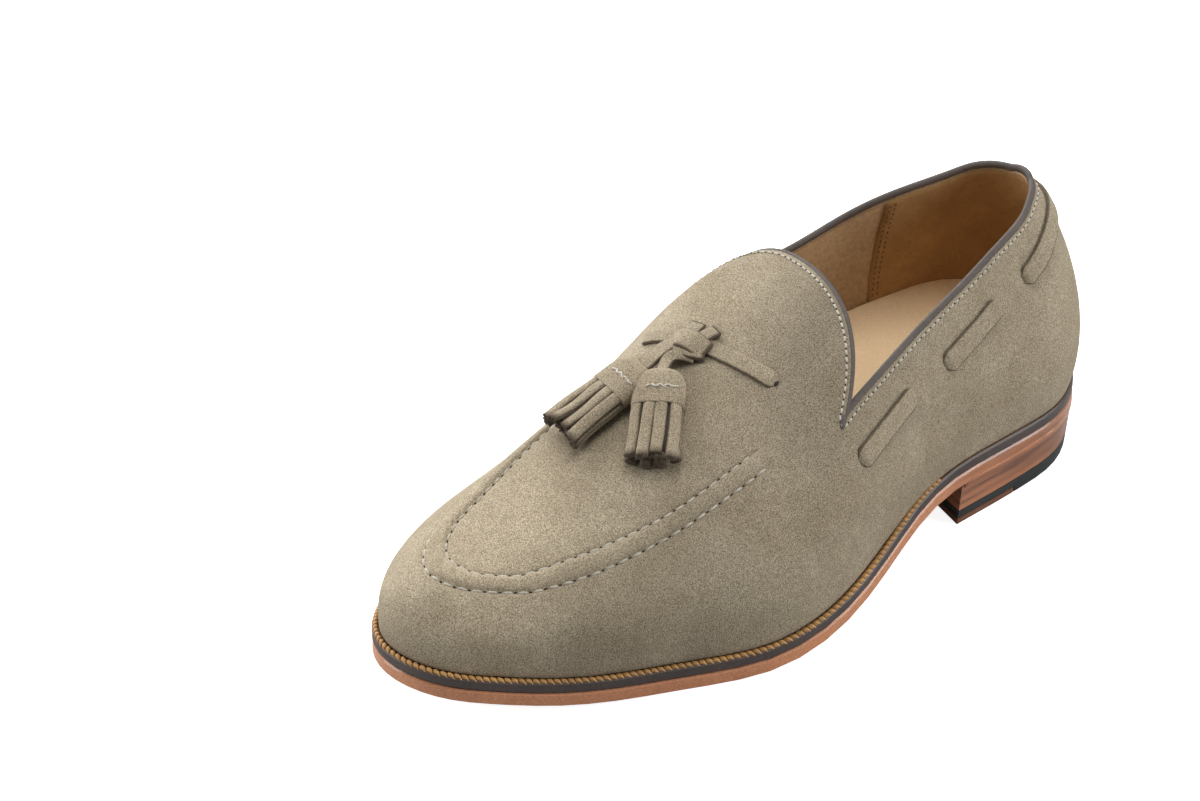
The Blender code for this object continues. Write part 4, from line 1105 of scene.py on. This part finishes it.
for name, (cap_place_on, end_place_on) in TASSELS.items():
    (start, start_up), (end, end_up) = skin_over(*cap_place_on), skin_over(*end_place_on)
    start, end = start + start_up * CAP_RISE, end + end_up * END_RISE
    axis, up = unit(end - start), unit(start_up + end_up)
    up = unit(up - axis * np.dot(up, axis))
    wide = np.cross(axis, up)
    tassel_mesh = new_mesh()
    cap = np.array(CAP_SHAPE)
    half_wide, half_deep = TASSEL_WIDTH / 2, TASSEL_DEPTH / 2
    # the cap's lower rim darker: cut edge of the wrap, and painted shade where it overhangs the
    # fringe
    sweep(tassel_mesh, start + axis * cap[:, :1], wide, up,
          oval(half_wide, half_deep, 36, TASSEL_SQUARE), cap[:, 1:],
          shade=lambda row, turn: CAP_EDGE_AND_SHADE_TONE * (row >= len(CAP_SHAPE) - 1))
    # painted shade: a dark body inside the fringe, seen through its slits
    shade_core = np.linspace(CAP_LENGTH - SHADE_CORE_IN_CAP, CAP_LENGTH + FRINGE_LENGTH - SHADE_CORE_SHORTER, 6)
    sweep(tassel_mesh, start + axis * shade_core[:, None], wide, up,
          oval(half_wide - SHADE_CORE_LESS[0], half_deep - SHADE_CORE_LESS[1], 24, TASSEL_SQUARE), kind=1)
    fringe_start = CAP_LENGTH - STRIP_IN_CAP
    for ring, count, shorter in FRINGE_RINGS:
        for place, face in round_oval(half_wide - STRIP_DEEP / 2 - STRIP_INSET[0],
                                      half_deep - STRIP_DEEP / 2 - STRIP_INSET[1], count):
            length = CAP_LENGTH + FRINGE_LENGTH + rng.uniform(*UNEVEN_LENGTH) - shorter
            line = []
            for t, swell in FRINGE_SPREAD:
                stray = rng.normal(0, STRAY[name], 2) * t
                line.append(start + axis * (fringe_start + (length - fringe_start) * t)
                            + wide * (place[0] * ring * swell + stray[0])
                            + up * (place[1] * ring * swell + stray[1] * STRAY_DEEP))
            out = unit(wide * face[0] + up * face[1])
            out_end = unit(out + wide * rng.normal(0, TWIST) + up * rng.normal(0, TWIST))
            fine_line = through(line, 12)
            fine_line = np.concatenate([fine_line, fine_line[-1:] + axis * CUT_LENGTH])
            ribbon(tassel_mesh, fine_line, out, out_end, STRIP_HALF, STRIP_DEEP, TASSEL_SQUARE)
            for _ in range(CRUMBS):
                crumb = rng.uniform(*CRUMB_HALF, 3)
                astray = axis * rng.uniform(-CRUMB_SPREAD[0], CRUMB_SPREAD[0])
                astray = astray + wide * rng.normal(0, CRUMB_SPREAD[1])
                astray = astray + up * rng.normal(0, CRUMB_SPREAD[2])
                add_bead(tassel_mesh, fine_line[-1] + astray, wide * crumb[0], up * crumb[1],
                         axis * crumb[2], 1)
    piece = finish_mesh("fringed_tassel_" + name, tassel_mesh, [lace_suede, frayed_and_shade])
    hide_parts("tassel_" + name)
    bar_mesh = new_mesh()
    bar_run = (BAR_ASIDE + np.linspace(-BAR_HALF, BAR_HALF, 24))[:, None]
    bar_up = half_deep * np.sqrt(1 - (bar_run / (TASSEL_WIDTH * CAP_ROUND)) ** 2) + BAR_UP
    bar_line = (start + axis * (BAR_PLACE + BAR_WAVE * np.sin(bar_run * BAR_TURN))
                + wide * bar_run + up * bar_up)
    sew(bar_mesh, bar_line, up, BAR_PITCH, BAR_STITCH, slant=BAR_SLANT)
    finish_mesh("cap_stitch_" + name, bar_mesh, [pale_thread])
    places, cord_half, turn_over = CORDS[name]
    cord_mesh = new_mesh()
    ribbon(cord_mesh, through(from_knot(places) + [start + axis * CORD_IN_CAP], 26),
           unit(knot_up + knot_medial * turn_over), up, cord_half, CORD_DEEP, bare_ends=False)
    piece = finish_mesh("lace_end_" + name, cord_mesh, [lace_suede])
    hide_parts("cord_" + name)

# Floor, world and lights: a white floor that the camera sees evenly bright, while the shoe gets
# only a little light back from it, and four soft boxes: the key one low on the medial side, one
# before the toe, one behind the heel on the lateral side and one overhead.
FLOOR_SEEN, FLOOR_BOUNCE, FLOOR_GLOW = 0.92, 0.45, 0.86
WORLD_FILL, WORLD_SHINE = 0.17, 0.6
# place (metres), width (metres) and power (watts)
SOFT_BOXES = {
    "key_light": ((-1.6, 0.33, 0.85), 1.3, 40.0), "front_light": ((-0.9, -1.5, 0.8), 1.1, 18.0),
    "rear_light": ((1.3, 1.3, 0.7), 1.1, 27.0), "top_light": ((0.0, 0.0, 1.9), 1.1, 19.0),
}
floor_white = bpy.data.materials.new("floor_white")
tree, shader = nodes_of(floor_white)
seen = add(tree, "LightPath").outputs["Is Camera Ray"]
tree.links.new(mix(tree, seen, grey(FLOOR_BOUNCE), grey(FLOOR_SEEN)), shader.inputs["Base Color"])
shader.inputs["Roughness"].default_value = 0.9
shader.inputs["Specular IOR Level"].default_value = 0.0
tree.links.new(mix(tree, seen, grey(0.0), grey(1.0)), shader.inputs["Emission Color"])
shader.inputs["Emission Strength"].default_value = FLOOR_GLOW
made = bmesh.new()
bmesh.ops.create_grid(made, x_segments=1, y_segments=1, size=6.0)
floor = mesh_object("floor", made, [floor_white])
world = bpy.data.worlds.new("studio")
bpy.context.scene.world = world
world.use_nodes = True
tree = world.node_tree
path = add(tree, "LightPath").outputs
mirrored = mix(tree, path["Is Glossy Ray"], grey(WORLD_FILL), grey(WORLD_SHINE))
seen = mix(tree, path["Is Camera Ray"], mirrored, grey(1.0))
tree.links.new(seen, tree.nodes["Background"].inputs["Color"])
for name, (place, width, power) in SOFT_BOXES.items():
    light = bpy.data.lights.new(name, "AREA")
    light.shape, light.size, light.energy = "SQUARE", width, power
    lamp = bpy.data.objects.new(name, light)
    lamp.location = place
    lamp.rotation_euler = Vector(place).to_track_quat("Z", "Y").to_euler()
    bpy.context.scene.collection.objects.link(lamp)
bpy.context.scene.view_settings.view_transform = "Standard"
